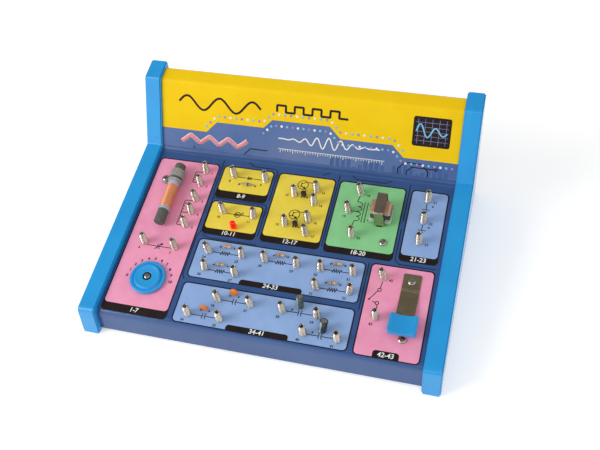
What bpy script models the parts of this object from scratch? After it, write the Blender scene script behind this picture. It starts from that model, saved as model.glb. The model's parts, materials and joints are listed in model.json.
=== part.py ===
"""Electronics project kit: a sloping console with spring terminals, each piece built on its own.

The frame: +X to the right, the front faces -Y, +Z up, the table at z = 0 under the middle.
The side view of the end rails drives the whole form. Everything that stands on the sloping
deck is placed in the deck's own frame: x across, y up the slope, z straight out of it.
"""
import math

import bmesh
import bpy
from mathutils import Euler, Matrix, Vector

for leftover in list(bpy.data.objects):
    bpy.data.objects.remove(leftover, do_unlink=True)

MM = 0.001              # unit of every size below
FIT = 0.3 * MM          # gap between pieces that touch
WELD = 0.001 * MM       # vertices closer than this are one
PASS = 1.0 * MM         # how far a cutter runs past the wall that it cuts
TURN = 2 * math.pi

# Side view of the end rails, from the front foot over the top to the back foot
WIDTH = 300.0 * MM
DEPTH = 223.0 * MM
HEIGHT = 117.3 * MM
SIDE_SHARES = [(0.01345, 0.22847), (0.78565, 0.47911), (0.90583, 0.96334), (1.0, 1.0)]
RAIL_ROUND = [5.0 * MM, 2.0 * MM, 3.0 * MM, 2.0 * MM]
RAIL_WIDTH = 15.0 * MM
RAIL_WALL = 2.8 * MM
RAIL_SIDE = 2.5 * MM
RAIL_EDGE = 1.0 * MM
RAIL_CORE = 7.0 * MM
ARC_STEPS = 4
EDGE_STEPS = 2
CORNER_STEPS = 3

# Grid of the deck: places on it are counted in steps from the middle and from the front edge
ACROSS_STEPS = 300
ALONG_STEPS = 223

# The moulded panel: lip, deck, header, ledge and back wall in one bent sheet
PANEL_WALL = 2.2 * MM
PANEL_RECESS = [4.9 * MM, 4.9 * MM, 3.0 * MM, 3.0 * MM, 3.5 * MM]
PANEL_ROUND = [6.0 * MM, 8.0 * MM, 5.0 * MM, 3.0 * MM]
PANEL_FOOT = 2.3 * MM
PANEL_TONGUE = 3.0 * MM

# Base cover, held by two hooks at the front and two screws at the back
BASE_LOW = 2.0 * MM
BASE_THICK = 3.2 * MM
BASE_HIGH = BASE_LOW + BASE_THICK
BASE_FRONT = 8.4 * MM
BASE_EDGE = 0.4 * MM
HOOK = Vector((6.0, 10.0, 1.4)) * MM
HOOK_FRONT = 12.0 * MM
LUG = Vector((10.0, 10.0, 9.5)) * MM
LUG_TO_BACK = 31.0 * MM
LUG_FRONT = DEPTH - LUG_TO_BACK
LUG_PILOT = 8.0 * MM
BASE_SCREW_HEAD = 2.8 * MM
BASE_SCREW_HEAD_HIGH = 1.2 * MM
BASE_SCREW_SINK = 1.6 * MM
BASE_SCREW_LONG = 8.0 * MM
SCREW_RADIUS = 1.2 * MM

# Battery bay for two AA cells, with a door that slides out at the back
CELL_RADIUS = 7.1 * MM
CELL_LENGTH = 50.5 * MM
CELL_NUB = 2.7 * MM
CELL_NUB_LONG = 1.3 * MM
CELL_BODY = CELL_LENGTH - CELL_NUB_LONG
CELL_EDGE = 0.6 * MM
CELL_HEIGHT = 12.2 * MM
CELL_PITCH = 14.8 * MM
CELL_SIDES = 16
BAY_SHARE = 0.2
BAY_X = BAY_SHARE * WIDTH
BAY_ROOM = 1.0 * MM
BAY_END_ROOM = 2.75 * MM
BAY_LENGTH = CELL_LENGTH + 2 * BAY_END_ROOM
BAY_WIDTH = CELL_PITCH + 2 * (CELL_RADIUS + BAY_ROOM)
BAY_HIGH = CELL_HEIGHT + CELL_RADIUS + BAY_ROOM
BAY_BEHIND = 9.0 * MM
BAY_FRONT = DEPTH - BAY_BEHIND - BAY_WIDTH
BAY_WALL = 1.6 * MM
CONTACT_THICK = 0.5 * MM
CONTACT_WIDE = 9.0 * MM
CONTACT_HIGH = 12.0 * MM
DIMPLE_RADIUS = 2.4 * MM
DIMPLE_TIP = 1.2 * MM
DIMPLE_SIDES = 10
DOOR_LAP = 1.5 * MM
DOOR_HALF = BAY_LENGTH / 2 + DOOR_LAP
DOOR_LOW = 2.2 * MM
DOOR_HIGH = 4.0 * MM
DOOR_FRONT = BAY_FRONT - DOOR_LAP
DOOR_TO_BACK = 3.7 * MM
DOOR_BACK = DEPTH - DOOR_TO_BACK
DOOR_TONGUE = 1.5 * MM
DOOR_TONGUE_HIGH = 0.9 * MM
DOOR_RIB = Vector((18.0, 0.9, 0.6)) * MM
DOOR_RIBS_TO_BACK = 17.0 * MM
DOOR_RIB_FIRST = DEPTH - DOOR_RIBS_TO_BACK
DOOR_RIB_STEP = 2.4 * MM
DOOR_RIBS = 4

# Spring terminals: close-wound tapered springs, shown as tapered sleeves with an open top
SPRING_FOOT = 3.0 * MM
SPRING_TIP = 2.1 * MM
SPRING_BORE_TIP = 1.35 * MM
SPRING_BORE_FOOT = 2.0 * MM
SPRING_FLOOR = 1.2 * MM
SPRING_HIGH = 14.5 * MM
TAIL_RADIUS = 0.7 * MM
TAIL_LOW = 5.0 * MM
TAIL_HOLE = 1.15 * MM
SPRING_SIDES = 8
TERMINAL_STEPS = {
    "1": (-86.5, 151.5), "2": (-87.3, 137.2), "3": (-86.3, 120.6), "4": (-86.2, 106.7),
    "5": (-87.0, 92.9), "6": (-117.5, 70.7), "7": (-89.0, 69.5), "8": (-59.0, 150.7),
    "9": (-30.0, 150.4), "10": (-58.0, 111.9), "11": (-30.5, 111.0), "12": (-0.4, 139.5),
    "13": (17.9, 146.5), "14": (18.4, 133.1), "15": (-1.1, 108.3), "16": (17.9, 115.1),
    "17": (18.6, 101.6), "18": (57.0, 150.2), "19": (49.7, 130.5), "20": (57.1, 106.6),
    "21": (114.4, 151.8), "22": (113.8, 130.2), "23": (113.6, 109.5), "24": (-58.5, 71.0),
    "25": (-29.6, 71.2), "26": (-57.5, 54.5), "27": (-30.0, 53.0), "28": (-8.9, 70.8),
    "29": (18.3, 70.2), "30": (38.9, 70.7), "31": (66.3, 71.0), "32": (39.0, 53.0),
    "33": (66.4, 53.6), "34": (-58.6, 11.5), "35": (-31.0, 11.2), "36": (-37.3, 28.2),
    "37": (-9.6, 28.2), "38": (17.6, 28.1), "39": (45.7, 28.1), "40": (38.2, 11.7),
    "41": (65.9, 11.1), "42": (91.3, 71.6), "43": (91.5, 35.3),
}

# Leads of the small components: bare wire through the deck, soldered to the spring tails
LEAD_RADIUS = 0.4 * MM
LEAD_HOLE = 0.8 * MM
LEAD_LOW = 4.2 * MM
LEAD_SIDES = 5
HOLE_SIDES = 6

# Axial components lie in a row between two springs: terminals, middle and span of the leads
RESISTOR_RADIUS = 1.25 * MM
RESISTOR_WAIST = 1.05 * MM
RESISTOR_CAP = 1.5 * MM
RESISTOR_EDGE = 0.3 * MM
RESISTOR_LENGTH = 6.6 * MM
RESISTOR_HIGH = 1.9 * MM
RESISTOR_SPAN = 12.2 * MM
RESISTOR_STEPS = {
    "resistor_24_25": ("24", "25", (-43.5, 77.2)), "resistor_26_27": ("26", "27", (-44.3, 59.5)),
    "resistor_28_29": ("28", "29", (3.7, 77.0)), "resistor_30_31": ("30", "31", (52.5, 77.1)),
    "resistor_32_33": ("32", "33", (52.2, 59.0)),
}
AXIAL_SIDES = 8
DIODE_RADIUS = 1.3 * MM
DIODE_LENGTH = 7.2 * MM
DIODE_EDGE = 0.5 * MM
DIODE_HIGH = 2.0 * MM
DIODE_SPAN = 15.0 * MM
DIODE_STEPS = ("8", "9", (-44.9, 142.5))

# Light-emitting diode
LED_STEPS = ("10", "11", (-43.8, 97.5))
LED_SIDES = 14
LED_DOME_STEPS = 3
LED_RADIUS = 2.5 * MM
LED_FLANGE = 2.9 * MM
LED_FLANGE_HIGH = 1.0 * MM
LED_LOW = 0.6 * MM
LED_STRAIGHT = 5.4 * MM
LED_PITCH = 2.54 * MM
LED_LEAD_TOP = 1.4 * MM

# Transistors in small moulded cases: left, right back and right front terminal, middle of the case
TRANSISTOR_STEPS = {
    "transistor_12_14": ("12", "13", "14", (8.8, 138.4)),
    "transistor_15_17": ("15", "16", "17", (8.8, 107.3)),
}
CASE_RADIUS = 2.3 * MM
CASE_FLAT = 1.3 * MM
CASE_LOW = 2.4 * MM
CASE_HIGH = 7.2 * MM
CASE_PITCH = 2.5 * MM
CASE_STEPS = 9

# Disc capacitors: terminals and middle of the leads, then how far each leans back
DISC_STEPS = {
    "disc_capacitor_34_35": ("34", "35", (-45.0, 16.9)),
    "disc_capacitor_36_37": ("36", "37", (-24.7, 33.5)),
}
DISC_LEAN_DEGREES = [2.0, 18.0]
DISC_RADIUS = 3.7 * MM
DISC_SIDES = 16
DISC_THICK = 2.2 * MM
DISC_RIM = 0.7 * MM
DISC_CENTRE = 4.6 * MM
DISC_SPAN = 7.4 * MM
DISC_LEAD_BEND = 0.9 * MM
DISC_LEAD_IN = 1.9 * MM
DISC_LEAD_TOP = 3.2 * MM

# Can capacitors: terminals and middle of the leads, then how far each leans back and right
CAN_STEPS = {
    "can_capacitor_38_39": ("38", "39", (31.0, 32.8)),
    "can_capacitor_40_41": ("40", "41", (52.9, 15.6)),
}
CAN_RADII = [3.0 * MM, 3.3 * MM]
CAN_LEAN_DEGREES = [(22.0, 0.0), (22.0, 9.0)]
CAN_SIDES = 12
CAN_LONG = 11.0 * MM
CAN_LOW = 1.6 * MM
CAN_GROOVE = 2.2 * MM
CAN_GROOVE_WIDE = 0.9 * MM
CAN_GROOVE_DEEP = 0.35 * MM
CAN_EDGE = 0.4 * MM
CAN_PITCH = 2.6 * MM
CAN_LEAD_IN = 1.2 * MM

# Antenna: ferrite rod in a clip, coil on a former, a cap on each end of the rod
ROD_FRONT_STEPS = (-108.3, 87.6)
ROD_HIGH = 7.2 * MM
ROD_RADIUS = 3.2 * MM
ROD_SIDES = 14
CAP_RADIUS = 4.7 * MM
CAP_SKIN = 1.2 * MM
CAP_EDGE = 0.5 * MM
CAP_SIDES = 18
CAP_LOW_LONG = 12.6 * MM
CAP_TOP_LONG = 6.6 * MM
FORMER_LONG = 30.4 * MM
FORMER_RADIUS = 4.0 * MM
FORMER_FLANGE = 5.2 * MM
FORMER_FLANGE_LONG = 1.8 * MM
FORMER_SIDES = 16
WIRE_RADIUS = 0.32 * MM
WIRE_SIDES = 5
COIL_RADIUS = 4.68 * MM
COIL_LOOPS = 18
COIL_STEPS = 10
COIL_MARGIN = 0.7 * MM
COLLAR_RADIUS = 6.3 * MM
COLLAR_LONG = 11.7 * MM
COLLAR_RIB = 0.4 * MM
COLLAR_SIDES = 28
COLLAR_GROOVE = 1.5 * MM
COLLAR_GROOVE_AT = 1.4 * MM
COLLAR_GROOVE_DEEP = 1.1 * MM
CLIP_FOOT_HALF = 3.6 * MM
EAR_OUT = 11.3 * MM
EAR_ALONG = 5.4 * MM
EAR_RADIUS = 4.2 * MM
EAR_THICK = 1.8 * MM

# Screws with a rounded head and a cross recess
PAN_RADIUS = 3.2 * MM
PAN_HIGH = 2.1 * MM
PAN_SHARE = [(1.0, 0.40), (0.84, 0.78), (0.45, 1.0)]
PAN_SHANK = 1.4 * MM
PAN_SHANK_HOLE = 1.8 * MM
PAN_LONG = 8.0 * MM
PAN_SIDES = 12
CROSS_LONG = 1.7 * MM
CROSS_WIDE = 0.45 * MM
CROSS_DEEP = 1.2 * MM

# Post of the base cover under the screw of the transformer field
POST_STEPS = (84.5, 104.0)
POST_RADIUS = 3.6 * MM
POST_PILOT = 8.5 * MM
POST_SIDES = 14

# Tuning capacitor with shaft, dial and dial screw
DIAL_STEPS = (-101.8, 36.7)
CAPACITOR_HALF = 10.0 * MM
CAPACITOR_HIGH = 10.5 * MM
CAPACITOR_EDGE = 0.8 * MM
CAPACITOR_BORE = 6.0 * MM
CAPACITOR_LUG = Vector((1.6, 3.2, 0.5)) * MM
CAPACITOR_LUG_DROP = 2.0 * MM
CAPACITOR_LUG_STEP = 5.0 * MM
SHAFT_RADIUS = 3.0 * MM
SHAFT_LOW = 7.0 * MM
SHAFT_TOP = 2.6 * MM
SHAFT_BORE = 1.3 * MM
SHAFT_SIDES = 16
DIAL_RADIUS = 15.6 * MM
DIAL_LOW = 0.7 * MM
DIAL_RIM = 3.4 * MM
DIAL_RIM_EDGE = 0.7 * MM
DIAL_STEP = 12.4 * MM
DIAL_STEP_WIDE = 0.9 * MM
DIAL_STEP_DEEP = 0.8 * MM
DIAL_CROWN = 10.9 * MM
DIAL_CROWN_HIGH = 5.2 * MM
DIAL_DISH = 7.2 * MM
DIAL_DISH_HIGH = 4.5 * MM
DIAL_WELL = 3.9 * MM
DIAL_WELL_FLOOR = 3.6 * MM
DIAL_HUB_DEEP = 2.2 * MM
DIAL_SIDES = 32
DIAL_SCREW_RADIUS = 3.3 * MM
DIAL_SCREW_HIGH = 1.7 * MM
DIAL_SCREW_SHANK = 1.0 * MM
DIAL_SCREW_LONG = 5.0 * MM

# Transformer: laminated core, wound bobbin, steel strap with tabs through the deck
CORE_STEPS = (78.4, 130.2)
CORE_HALF = 3.8 * MM
CORE_LONG = 20.0 * MM
CORE_LOW = 1.0 * MM
CORE_TOP = 18.6 * MM
YOKE = 3.2 * MM
LEG_HALF = 3.0 * MM
BOBBIN_HALF = 8.9 * MM
BOBBIN_EDGE = 1.4 * MM
CHEEK_HALF = 9.8 * MM
CHEEK_LONG = 17.0 * MM
CHEEK_HIGH = 3.2 * MM
PIN = Vector((1.4, 1.1, 1.1)) * MM
PINS = 4
PIN_STEP = 3.1 * MM
PIN_HEIGHT = 9.6 * MM
STRAP_THICK = 0.7 * MM
STRAP_HALF = 4.1 * MM
STRAP_TAB_HALF = 2.0 * MM
STRAP_TAB_LOW = 5.5 * MM

# Key: spring leaf held by one screw, finger cap on its free arm, contact screw under the tip
KEY_BEND_STEPS = (114.3, 60.7)
KEY_TAB_LONG = 17.7 * MM
KEY_HALF = 7.3 * MM
KEY_THICK = 0.5 * MM
KEY_CORNER = 1.6 * MM
KEY_SCREW_BACK = 10.3 * MM
KEY_RISE = 8.9
KEY_ARM = 39.8 * MM
KEY_CAP_BACK = 23.0 * MM
KEY_CAP_FRONT = 40.4 * MM
KEY_CAP_HALF = 11.2 * MM
KEY_CAP_HIGH = 4.6 * MM
KEY_CAP_ROUND = 2.0 * MM
KEY_CAP_EDGE = 0.7 * MM
KEY_DISH_RADIUS = 24.0 * MM
KEY_DISH_DEEP = 1.9 * MM
KEY_DISH_SIDES = 48
KEY_CONTACT = Vector((0.9, -40.3, 0.0)) * MM


def material(name, colour, roughness, metallic=0.0):
    """A plain surface: one colour, roughness and metal share."""
    made = bpy.data.materials.new(name)
    made.use_nodes = True
    shader = made.node_tree.nodes["Principled BSDF"]
    shader.inputs["Base Color"].default_value = (*colour, 1.0)
    shader.inputs["Roughness"].default_value = roughness
    shader.inputs["Metallic"].default_value = metallic
    made.diffuse_color = (*colour, 1.0)
    return made


SKY = material("sky_blue_plastic", (0.013, 0.33, 0.73), 0.4)
NAVY = material("navy_panel", (0.03, 0.09, 0.26), 0.45)
BASE_GREY = material("base_plastic", (0.02, 0.05, 0.14), 0.6)
NICKEL = material("nickel_spring", (0.62, 0.6, 0.56), 0.28, 1.0)
STEEL = material("steel", (0.5, 0.5, 0.48), 0.35, 1.0)
BRASS = material("brass", (0.75, 0.5, 0.2), 0.35, 1.0)
LEAF = material("spring_leaf", (0.2, 0.17, 0.12), 0.4, 1.0)
FERRITE = material("ferrite", (0.08, 0.085, 0.08), 0.7)
GREY_CAP = material("dark_grey_plastic", (0.1, 0.11, 0.1), 0.6)
CLIP_GREY = material("clip_plastic", (0.38, 0.37, 0.34), 0.55)
FORMER = material("former_plastic", (0.6, 0.6, 0.66), 0.5)
COPPER = material("enamelled_copper", (0.72, 0.3, 0.12), 0.4, 0.6)
CORE = material("core_steel", (0.09, 0.08, 0.08), 0.55, 0.5)
TAPE = material("bobbin_tape", (0.5, 0.28, 0.2), 0.6)
BEIGE = material("resistor_body", (0.72, 0.45, 0.22), 0.5)
GLASS = material("diode_glass", (0.6, 0.6, 0.5), 0.15)
RED = material("led_red", (0.8, 0.01, 0.01), 0.2)
BLACK = material("black_moulding", (0.012, 0.012, 0.013), 0.5)
ORANGE = material("disc_orange", (0.8, 0.22, 0.04), 0.5)
SLEEVE = material("can_sleeve", (0.03, 0.045, 0.06), 0.35)
CREAM = material("capacitor_case", (0.75, 0.73, 0.68), 0.45)
CELL = material("cell_jacket", (0.05, 0.16, 0.1), 0.35, 0.3)


def grown(bm):
    """Close coincident vertices and turn every face outward."""
    bmesh.ops.remove_doubles(bm, verts=bm.verts, dist=WELD)
    bmesh.ops.recalc_face_normals(bm, faces=bm.faces)
    return bm


def moved(bm, matrix):
    bmesh.ops.transform(bm, matrix=matrix, verts=bm.verts)
    return bm


def turned(profile, sides):
    """Turned solid about z from a line of (radius, height) that starts and ends on the axis."""
    bm = bmesh.new()
    verts = [bm.verts.new((radius, 0.0, height)) for radius, height in profile]
    edges = [bm.edges.new(pair) for pair in zip(verts, verts[1:])]
    bmesh.ops.spin(bm, geom=verts + edges, axis=(0, 0, 1), cent=(0, 0, 0), angle=TURN, steps=sides)
    return grown(bm)


def block(low, high):
    """Box between two corners."""
    bm = bmesh.new()
    bmesh.ops.create_cube(bm, size=1.0)
    low, high = Vector(low), Vector(high)
    size = Matrix.Diagonal((*(high - low), 1.0))
    return moved(bm, Matrix.Translation((low + high) / 2) @ size)


def prism(outline, low, high, axis="X"):
    """Flat outline pushed along x or z between two heights."""
    bm = bmesh.new()
    if axis == "X":
        verts = [bm.verts.new((low, a, b)) for a, b in outline]
        step = Vector((high - low, 0, 0))
    else:
        verts = [bm.verts.new((a, b, low)) for a, b in outline]
        step = Vector((0, 0, high - low))
    face = bm.faces.new(verts)
    pushed = bmesh.ops.extrude_face_region(bm, geom=[face], use_keep_orig=True)
    fresh = [item for item in pushed["geom"] if isinstance(item, bmesh.types.BMVert)]
    bmesh.ops.translate(bm, vec=step, verts=fresh)
    return grown(bm)


def rod(points, radius, sides):
    """Round bar along a line of points, mitred where it turns, closed at both ends."""
    bm = bmesh.new()
    ways = [(b - a).normalized() for a, b in zip(points, points[1:])]
    across = ways[0].orthogonal().normalized()
    over = ways[0].cross(across)
    corners = [TURN * n / sides for n in range(sides)]
    ring = [points[0] + radius * (math.cos(a) * across + math.sin(a) * over) for a in corners]
    rings = [[bm.verts.new(corner) for corner in ring]]
    for place, way, after in zip(points[1:], ways, ways[1:] + [ways[-1]]):
        mitre = (way + after).normalized()
        ring = [corner + way * ((place - corner).dot(mitre) / way.dot(mitre)) for corner in ring]
        rings.append([bm.verts.new(corner) for corner in ring])
    for lower, upper in zip(rings, rings[1:]):
        for n in range(sides):
            bm.faces.new((lower[n - 1], lower[n], upper[n], upper[n - 1]))
    bm.faces.new(rings[0])
    bm.faces.new(rings[-1])
    return grown(bm)


def softened(bm, width, segments=1):
    """Bevel every edge that turns a real corner."""
    sharp = [edge for edge in bm.edges if edge.calc_face_angle(0.0) > math.radians(40)]
    bmesh.ops.bevel(bm, geom=sharp, offset=width, segments=segments, affect="EDGES", clamp_overlap=True)
    return grown(bm)


def mesh_object(name, bm):
    mesh = bpy.data.meshes.new(name)
    bm.to_mesh(mesh)
    bm.free()
    made = bpy.data.objects.new(name, mesh)
    bpy.context.collection.objects.link(made)
    return made


def combine(target, bm, operation):
    """Exact Boolean of an object with a loose shape; the shape is used up."""
    tool = mesh_object("tool", bm)
    step = target.modifiers.new(operation.lower(), "BOOLEAN")
    step.operation = operation
    step.solver = "EXACT"
    step.object = tool
    graph = bpy.context.evaluated_depsgraph_get()
    result = bpy.data.meshes.new_from_object(target.evaluated_get(graph))
    target.modifiers.clear()
    spent = target.data
    target.data = result
    bpy.data.meshes.remove(spent)
    bpy.data.objects.remove(tool, do_unlink=True)
    return target


def piece(name, shapes, surface, parent=None, cuts=()):
    """One named body: the first shape, the others joined to it, the cuts taken away."""
    made = mesh_object(name, shapes[0])
    for shape in shapes[1:]:
        combine(made, shape, "UNION")
    for cut in cuts:
        combine(made, cut, "DIFFERENCE")
    made.data.materials.clear()
    made.data.materials.append(surface)
    made.parent = parent
    return made


def flat(place):
    """Place on the grid as a vector on the deck."""
    return Vector((place[0] * WIDTH / ACROSS_STEPS, place[1] * DEPTH / ALONG_STEPS, 0.0))


def inset(points, distances):
    """Corner line moved to its right-hand side, each stretch by its own distance."""
    ways = [(b - a).normalized() for a, b in zip(points, points[1:])]
    starts = [a + Vector((w.y, -w.x)) * d for a, w, d in zip(points, ways, distances)]
    line = [starts[0]]
    for first, way, second, after in zip(starts, ways, starts[1:], ways[1:]):
        reach = (second - first).cross(after) / way.cross(after)
        line.append(first + way * reach)
    end = points[-1] + Vector((ways[-1].y, -ways[-1].x)) * distances[-1]
    return line + [end]


def rounded(points, radii, steps=ARC_STEPS):
    """Open line with an arc of the given radius at each inner corner."""
    line = [points[0]]
    for before, corner, after, radius in zip(points, points[1:], points[2:], radii):
        way_in = (corner - before).normalized()
        way_out = (after - corner).normalized()
        turn = way_in.angle_signed(way_out)
        reach = radius * math.tan(abs(turn) / 2)
        side = Vector((way_in.y, -way_in.x)) * math.copysign(radius, turn)
        centre = corner - way_in * reach + side
        for step in range(steps + 1):
            line.append(centre + Matrix.Rotation(-turn * step / steps, 2) @ -side)
    return line + [points[-1]]


def with_feet(points, height):
    """The same line with both ends taken up or down to one height."""
    line = list(points)
    for end, neighbour in ((0, 1), (-1, -2)):
        way = points[neighbour] - points[end]
        line[end] = points[end] + way * ((height - points[end].y) / way.y)
    return line


def band(line, outside, inside):
    """Closed outline of the sheet between two distances from a line."""
    outer = inset(line, [outside] * (len(line) - 1))
    inner = inset(line, [inside] * (len(line) - 1))
    return outer + inner[::-1]


def standing(outline):
    """Side view measured from the front foot, moved so that the middle is the origin."""
    return [(point.x - DEPTH / 2, point.y) for point in outline]


def empty(name, place, rotation=(0.0, 0.0, 0.0), parent=None):
    made = bpy.data.objects.new(name, None)
    bpy.context.collection.objects.link(made)
    made.location = place
    made.rotation_euler = rotation
    made.parent = parent
    return made


# Side lines of rail and panel
RAIL_LINE = [Vector((0.0, 0.0))]
RAIL_LINE += [Vector((DEPTH * along, HEIGHT * up)) for along, up in SIDE_SHARES]
RAIL_LINE.append(Vector((DEPTH, 0.0)))
PANEL_CORNERS = inset(RAIL_LINE, PANEL_RECESS)
DECK_RUN = RAIL_LINE[2] - RAIL_LINE[1]
SLOPE = math.atan2(DECK_RUN.y, DECK_RUN.x)
DECK_ZERO = Vector((0.0, PANEL_CORNERS[1].x - DEPTH / 2, PANEL_CORNERS[1].y))
DECK_MATRIX = Matrix.Translation(DECK_ZERO) @ Matrix.Rotation(SLOPE, 4, "X")
deck = empty("deck_frame", DECK_ZERO, (SLOPE, 0.0, 0.0))


def from_front(distance):
    return distance - DEPTH / 2


# Places on the deck that more than one piece needs
DIAL_AT = flat(DIAL_STEPS)
CORE_AT = flat(CORE_STEPS)
POST_AT = flat(POST_STEPS)
ROD_FRONT = flat(ROD_FRONT_STEPS)
KEY_BEND = flat(KEY_BEND_STEPS)
KEY_SCREW_AT = KEY_BEND + Vector((0.0, KEY_SCREW_BACK, 0.0))
KEY_CONTACT_AT = KEY_BEND + KEY_CONTACT
FORMER_LOW = CAP_LOW_LONG + FIT
FORMER_TOP = FORMER_LOW + FORMER_LONG
COLLAR_LOW = FORMER_TOP + FIT
COLLAR_TOP = COLLAR_LOW + COLLAR_LONG
ROD_LONG = COLLAR_TOP + FIT + CAP_TOP_LONG
EAR_AT = ROD_FRONT + Vector((-EAR_OUT, COLLAR_LOW + EAR_ALONG, 0.0))


# Round holes and slots through the deck
def peg(radius, depth, sides):
    """Plain round bar about z, with its middle at the origin."""
    bm = bmesh.new()
    bmesh.ops.create_cone(bm, cap_ends=True, segments=sides, radius1=radius, radius2=radius, depth=depth)
    return bm


def deck_bore(place, radius, sides):
    return moved(peg(radius, 2 * (PANEL_WALL + PASS), sides), Matrix.Translation(place))


def gathered(shapes):
    """Several separate loose shapes as one cutter."""
    whole = bmesh.new()
    for shape in shapes:
        carrier = bpy.data.meshes.new("carrier")
        shape.to_mesh(carrier)
        whole.from_mesh(carrier)
        bpy.data.meshes.remove(carrier)
        shape.free()
    return whole


def axial_feet(centre, span):
    middle = flat(centre)
    return [middle + Vector((side * span / 2, 0.0, 0.0)) for side in (-1, 1)]


SETS = [DIODE_STEPS, LED_STEPS]
LEAD_FEET = axial_feet(DIODE_STEPS[-1], DIODE_SPAN) + axial_feet(LED_STEPS[-1], LED_PITCH)
for table, span in (
    (RESISTOR_STEPS, RESISTOR_SPAN), (TRANSISTOR_STEPS, 2 * CASE_PITCH),
    (DISC_STEPS, DISC_SPAN), (CAN_STEPS, CAN_PITCH),
):
    for entry in table.values():
        SETS.append(entry)
        LEAD_FEET += axial_feet(entry[-1], span)
LEAD_FEET += [flat(entry[-1]) for entry in TRANSISTOR_STEPS.values()]
SOLDERED = [number for entry in SETS for number in entry[:-1]]

bores = [deck_bore(flat(spot), TAIL_HOLE, HOLE_SIDES) for spot in TERMINAL_STEPS.values()]
bores += [deck_bore(foot, LEAD_HOLE, HOLE_SIDES) for foot in LEAD_FEET]
bores.append(deck_bore(DIAL_AT, SHAFT_RADIUS + 2 * FIT, SHAFT_SIDES))
for spot in (EAR_AT, POST_AT, KEY_SCREW_AT, KEY_CONTACT_AT):
    bores.append(deck_bore(spot, PAN_SHANK_HOLE, PAN_SIDES))
strap_reach = CORE_LONG / 2 + FIT
for side in (-1, 1):
    near, far = strap_reach - FIT, strap_reach + STRAP_THICK + FIT
    low = Vector((-STRAP_TAB_HALF - FIT, min(side * near, side * far), -PANEL_WALL - PASS))
    high = Vector((STRAP_TAB_HALF + FIT, max(side * near, side * far), PANEL_WALL))
    bores.append(block(CORE_AT + low, CORE_AT + high))
deck_holes = moved(gathered(bores), DECK_MATRIX)

# Panel: one bent sheet with every hole, and a notch at the back for the battery door
panel_line = rounded(with_feet(PANEL_CORNERS, PANEL_FOOT), PANEL_ROUND)
inner_half = WIDTH / 2 - RAIL_WIDTH
panel_half = inner_half + PANEL_TONGUE
sheet = prism(standing(band(panel_line, 0.0, PANEL_WALL)), -panel_half, panel_half)
notch_half = DOOR_HALF + DOOR_TONGUE + 2 * FIT
notch = block(
    (BAY_X - notch_half, from_front(BAY_FRONT + BAY_WIDTH), -PASS),
    (BAY_X + notch_half, from_front(DEPTH + PASS), DOOR_HIGH + 2 * FIT),
)
panel = piece("console_panel", [sheet], NAVY, cuts=[deck_holes, notch])

# End rails: hollow mouldings, open below, with a groove that takes the panel's edge
rail_round = rounded(RAIL_LINE, RAIL_ROUND)
groove_line = rounded(with_feet(PANEL_CORNERS, -PASS), PANEL_ROUND)
core_line = with_feet(inset(RAIL_LINE, [RAIL_WALL] * 5), -PASS)
for name, side in (("left_side_rail", -1), ("right_side_rail", 1)):
    inner = side * inner_half
    outer = side * WIDTH / 2
    body = prism(standing(rail_round), min(inner, outer), max(inner, outer))
    rims = [edge for edge in body.edges if abs(edge.verts[0].co.x - edge.verts[1].co.x) < WELD]
    bmesh.ops.bevel(body, geom=rims, offset=RAIL_EDGE, segments=EDGE_STEPS, affect="EDGES")
    lug_low = BASE_HIGH + FIT
    lug = block(
        (min(inner - side * LUG.x, inner + side * PASS), from_front(LUG_FRONT), lug_low),
        (max(inner - side * LUG.x, inner + side * PASS), from_front(LUG_FRONT + LUG.y), lug_low + LUG.z),
    )
    hook = block(
        (min(inner - side * HOOK.x, inner + side * PASS), from_front(HOOK_FRONT), BASE_LOW - FIT - HOOK.z),
        (max(inner - side * HOOK.x, inner + side * PASS), from_front(HOOK_FRONT + HOOK.y), BASE_LOW - FIT),
    )
    depth = PANEL_TONGUE + FIT
    groove = prism(
        standing(band(groove_line, -FIT, PANEL_WALL + FIT)),
        min(inner - side * PASS, inner + side * depth), max(inner - side * PASS, inner + side * depth),
    )
    core = prism(
        standing(core_line),
        min(outer - side * RAIL_SIDE, outer - side * (RAIL_SIDE + RAIL_CORE)),
        max(outer - side * RAIL_SIDE, outer - side * (RAIL_SIDE + RAIL_CORE)),
    )
    lug_middle = (inner - side * LUG.x / 2, from_front(LUG_FRONT + LUG.y / 2), lug_low)
    pilot = moved(peg(SCREW_RADIUS + FIT, 2 * LUG_PILOT, PAN_SIDES), Matrix.Translation(lug_middle))
    piece(name, [body, lug, hook], SKY, cuts=[core, groove, pilot])

# Base cover with battery bay, door track, screw sinks and the post under the transformer field
plate = block(
    (-inner_half + FIT, from_front(BASE_FRONT), BASE_LOW),
    (inner_half - FIT, PANEL_CORNERS[-1].x - DEPTH / 2 - PANEL_WALL - FIT, BASE_HIGH),
)
softened(plate, BASE_EDGE)
bay_half = BAY_LENGTH / 2
bay_back = BAY_FRONT + BAY_WIDTH
bay_shell = block(
    (BAY_X - bay_half - BAY_WALL, from_front(BAY_FRONT - BAY_WALL), BASE_HIGH - BASE_EDGE),
    (BAY_X + bay_half + BAY_WALL, from_front(bay_back + BAY_WALL), BAY_HIGH + BAY_WALL),
)
bay_room = block(
    (BAY_X - bay_half, from_front(BAY_FRONT), -PASS), (BAY_X + bay_half, from_front(bay_back), BAY_HIGH),
)
track_body = block(
    (BAY_X - DOOR_HALF - FIT, from_front(DOOR_FRONT - FIT), -PASS),
    (BAY_X + DOOR_HALF + FIT, from_front(DEPTH), DOOR_HIGH + FIT),
)
track_side = block(
    (BAY_X - DOOR_HALF - DOOR_TONGUE - FIT, from_front(DOOR_FRONT - FIT), DOOR_HIGH - DOOR_TONGUE_HIGH - FIT),
    (BAY_X + DOOR_HALF + DOOR_TONGUE + FIT, from_front(DEPTH), DOOR_HIGH + FIT),
)
post_length = ((DECK_MATRIX @ POST_AT).z - BASE_HIGH) / math.cos(SLOPE)
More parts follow.
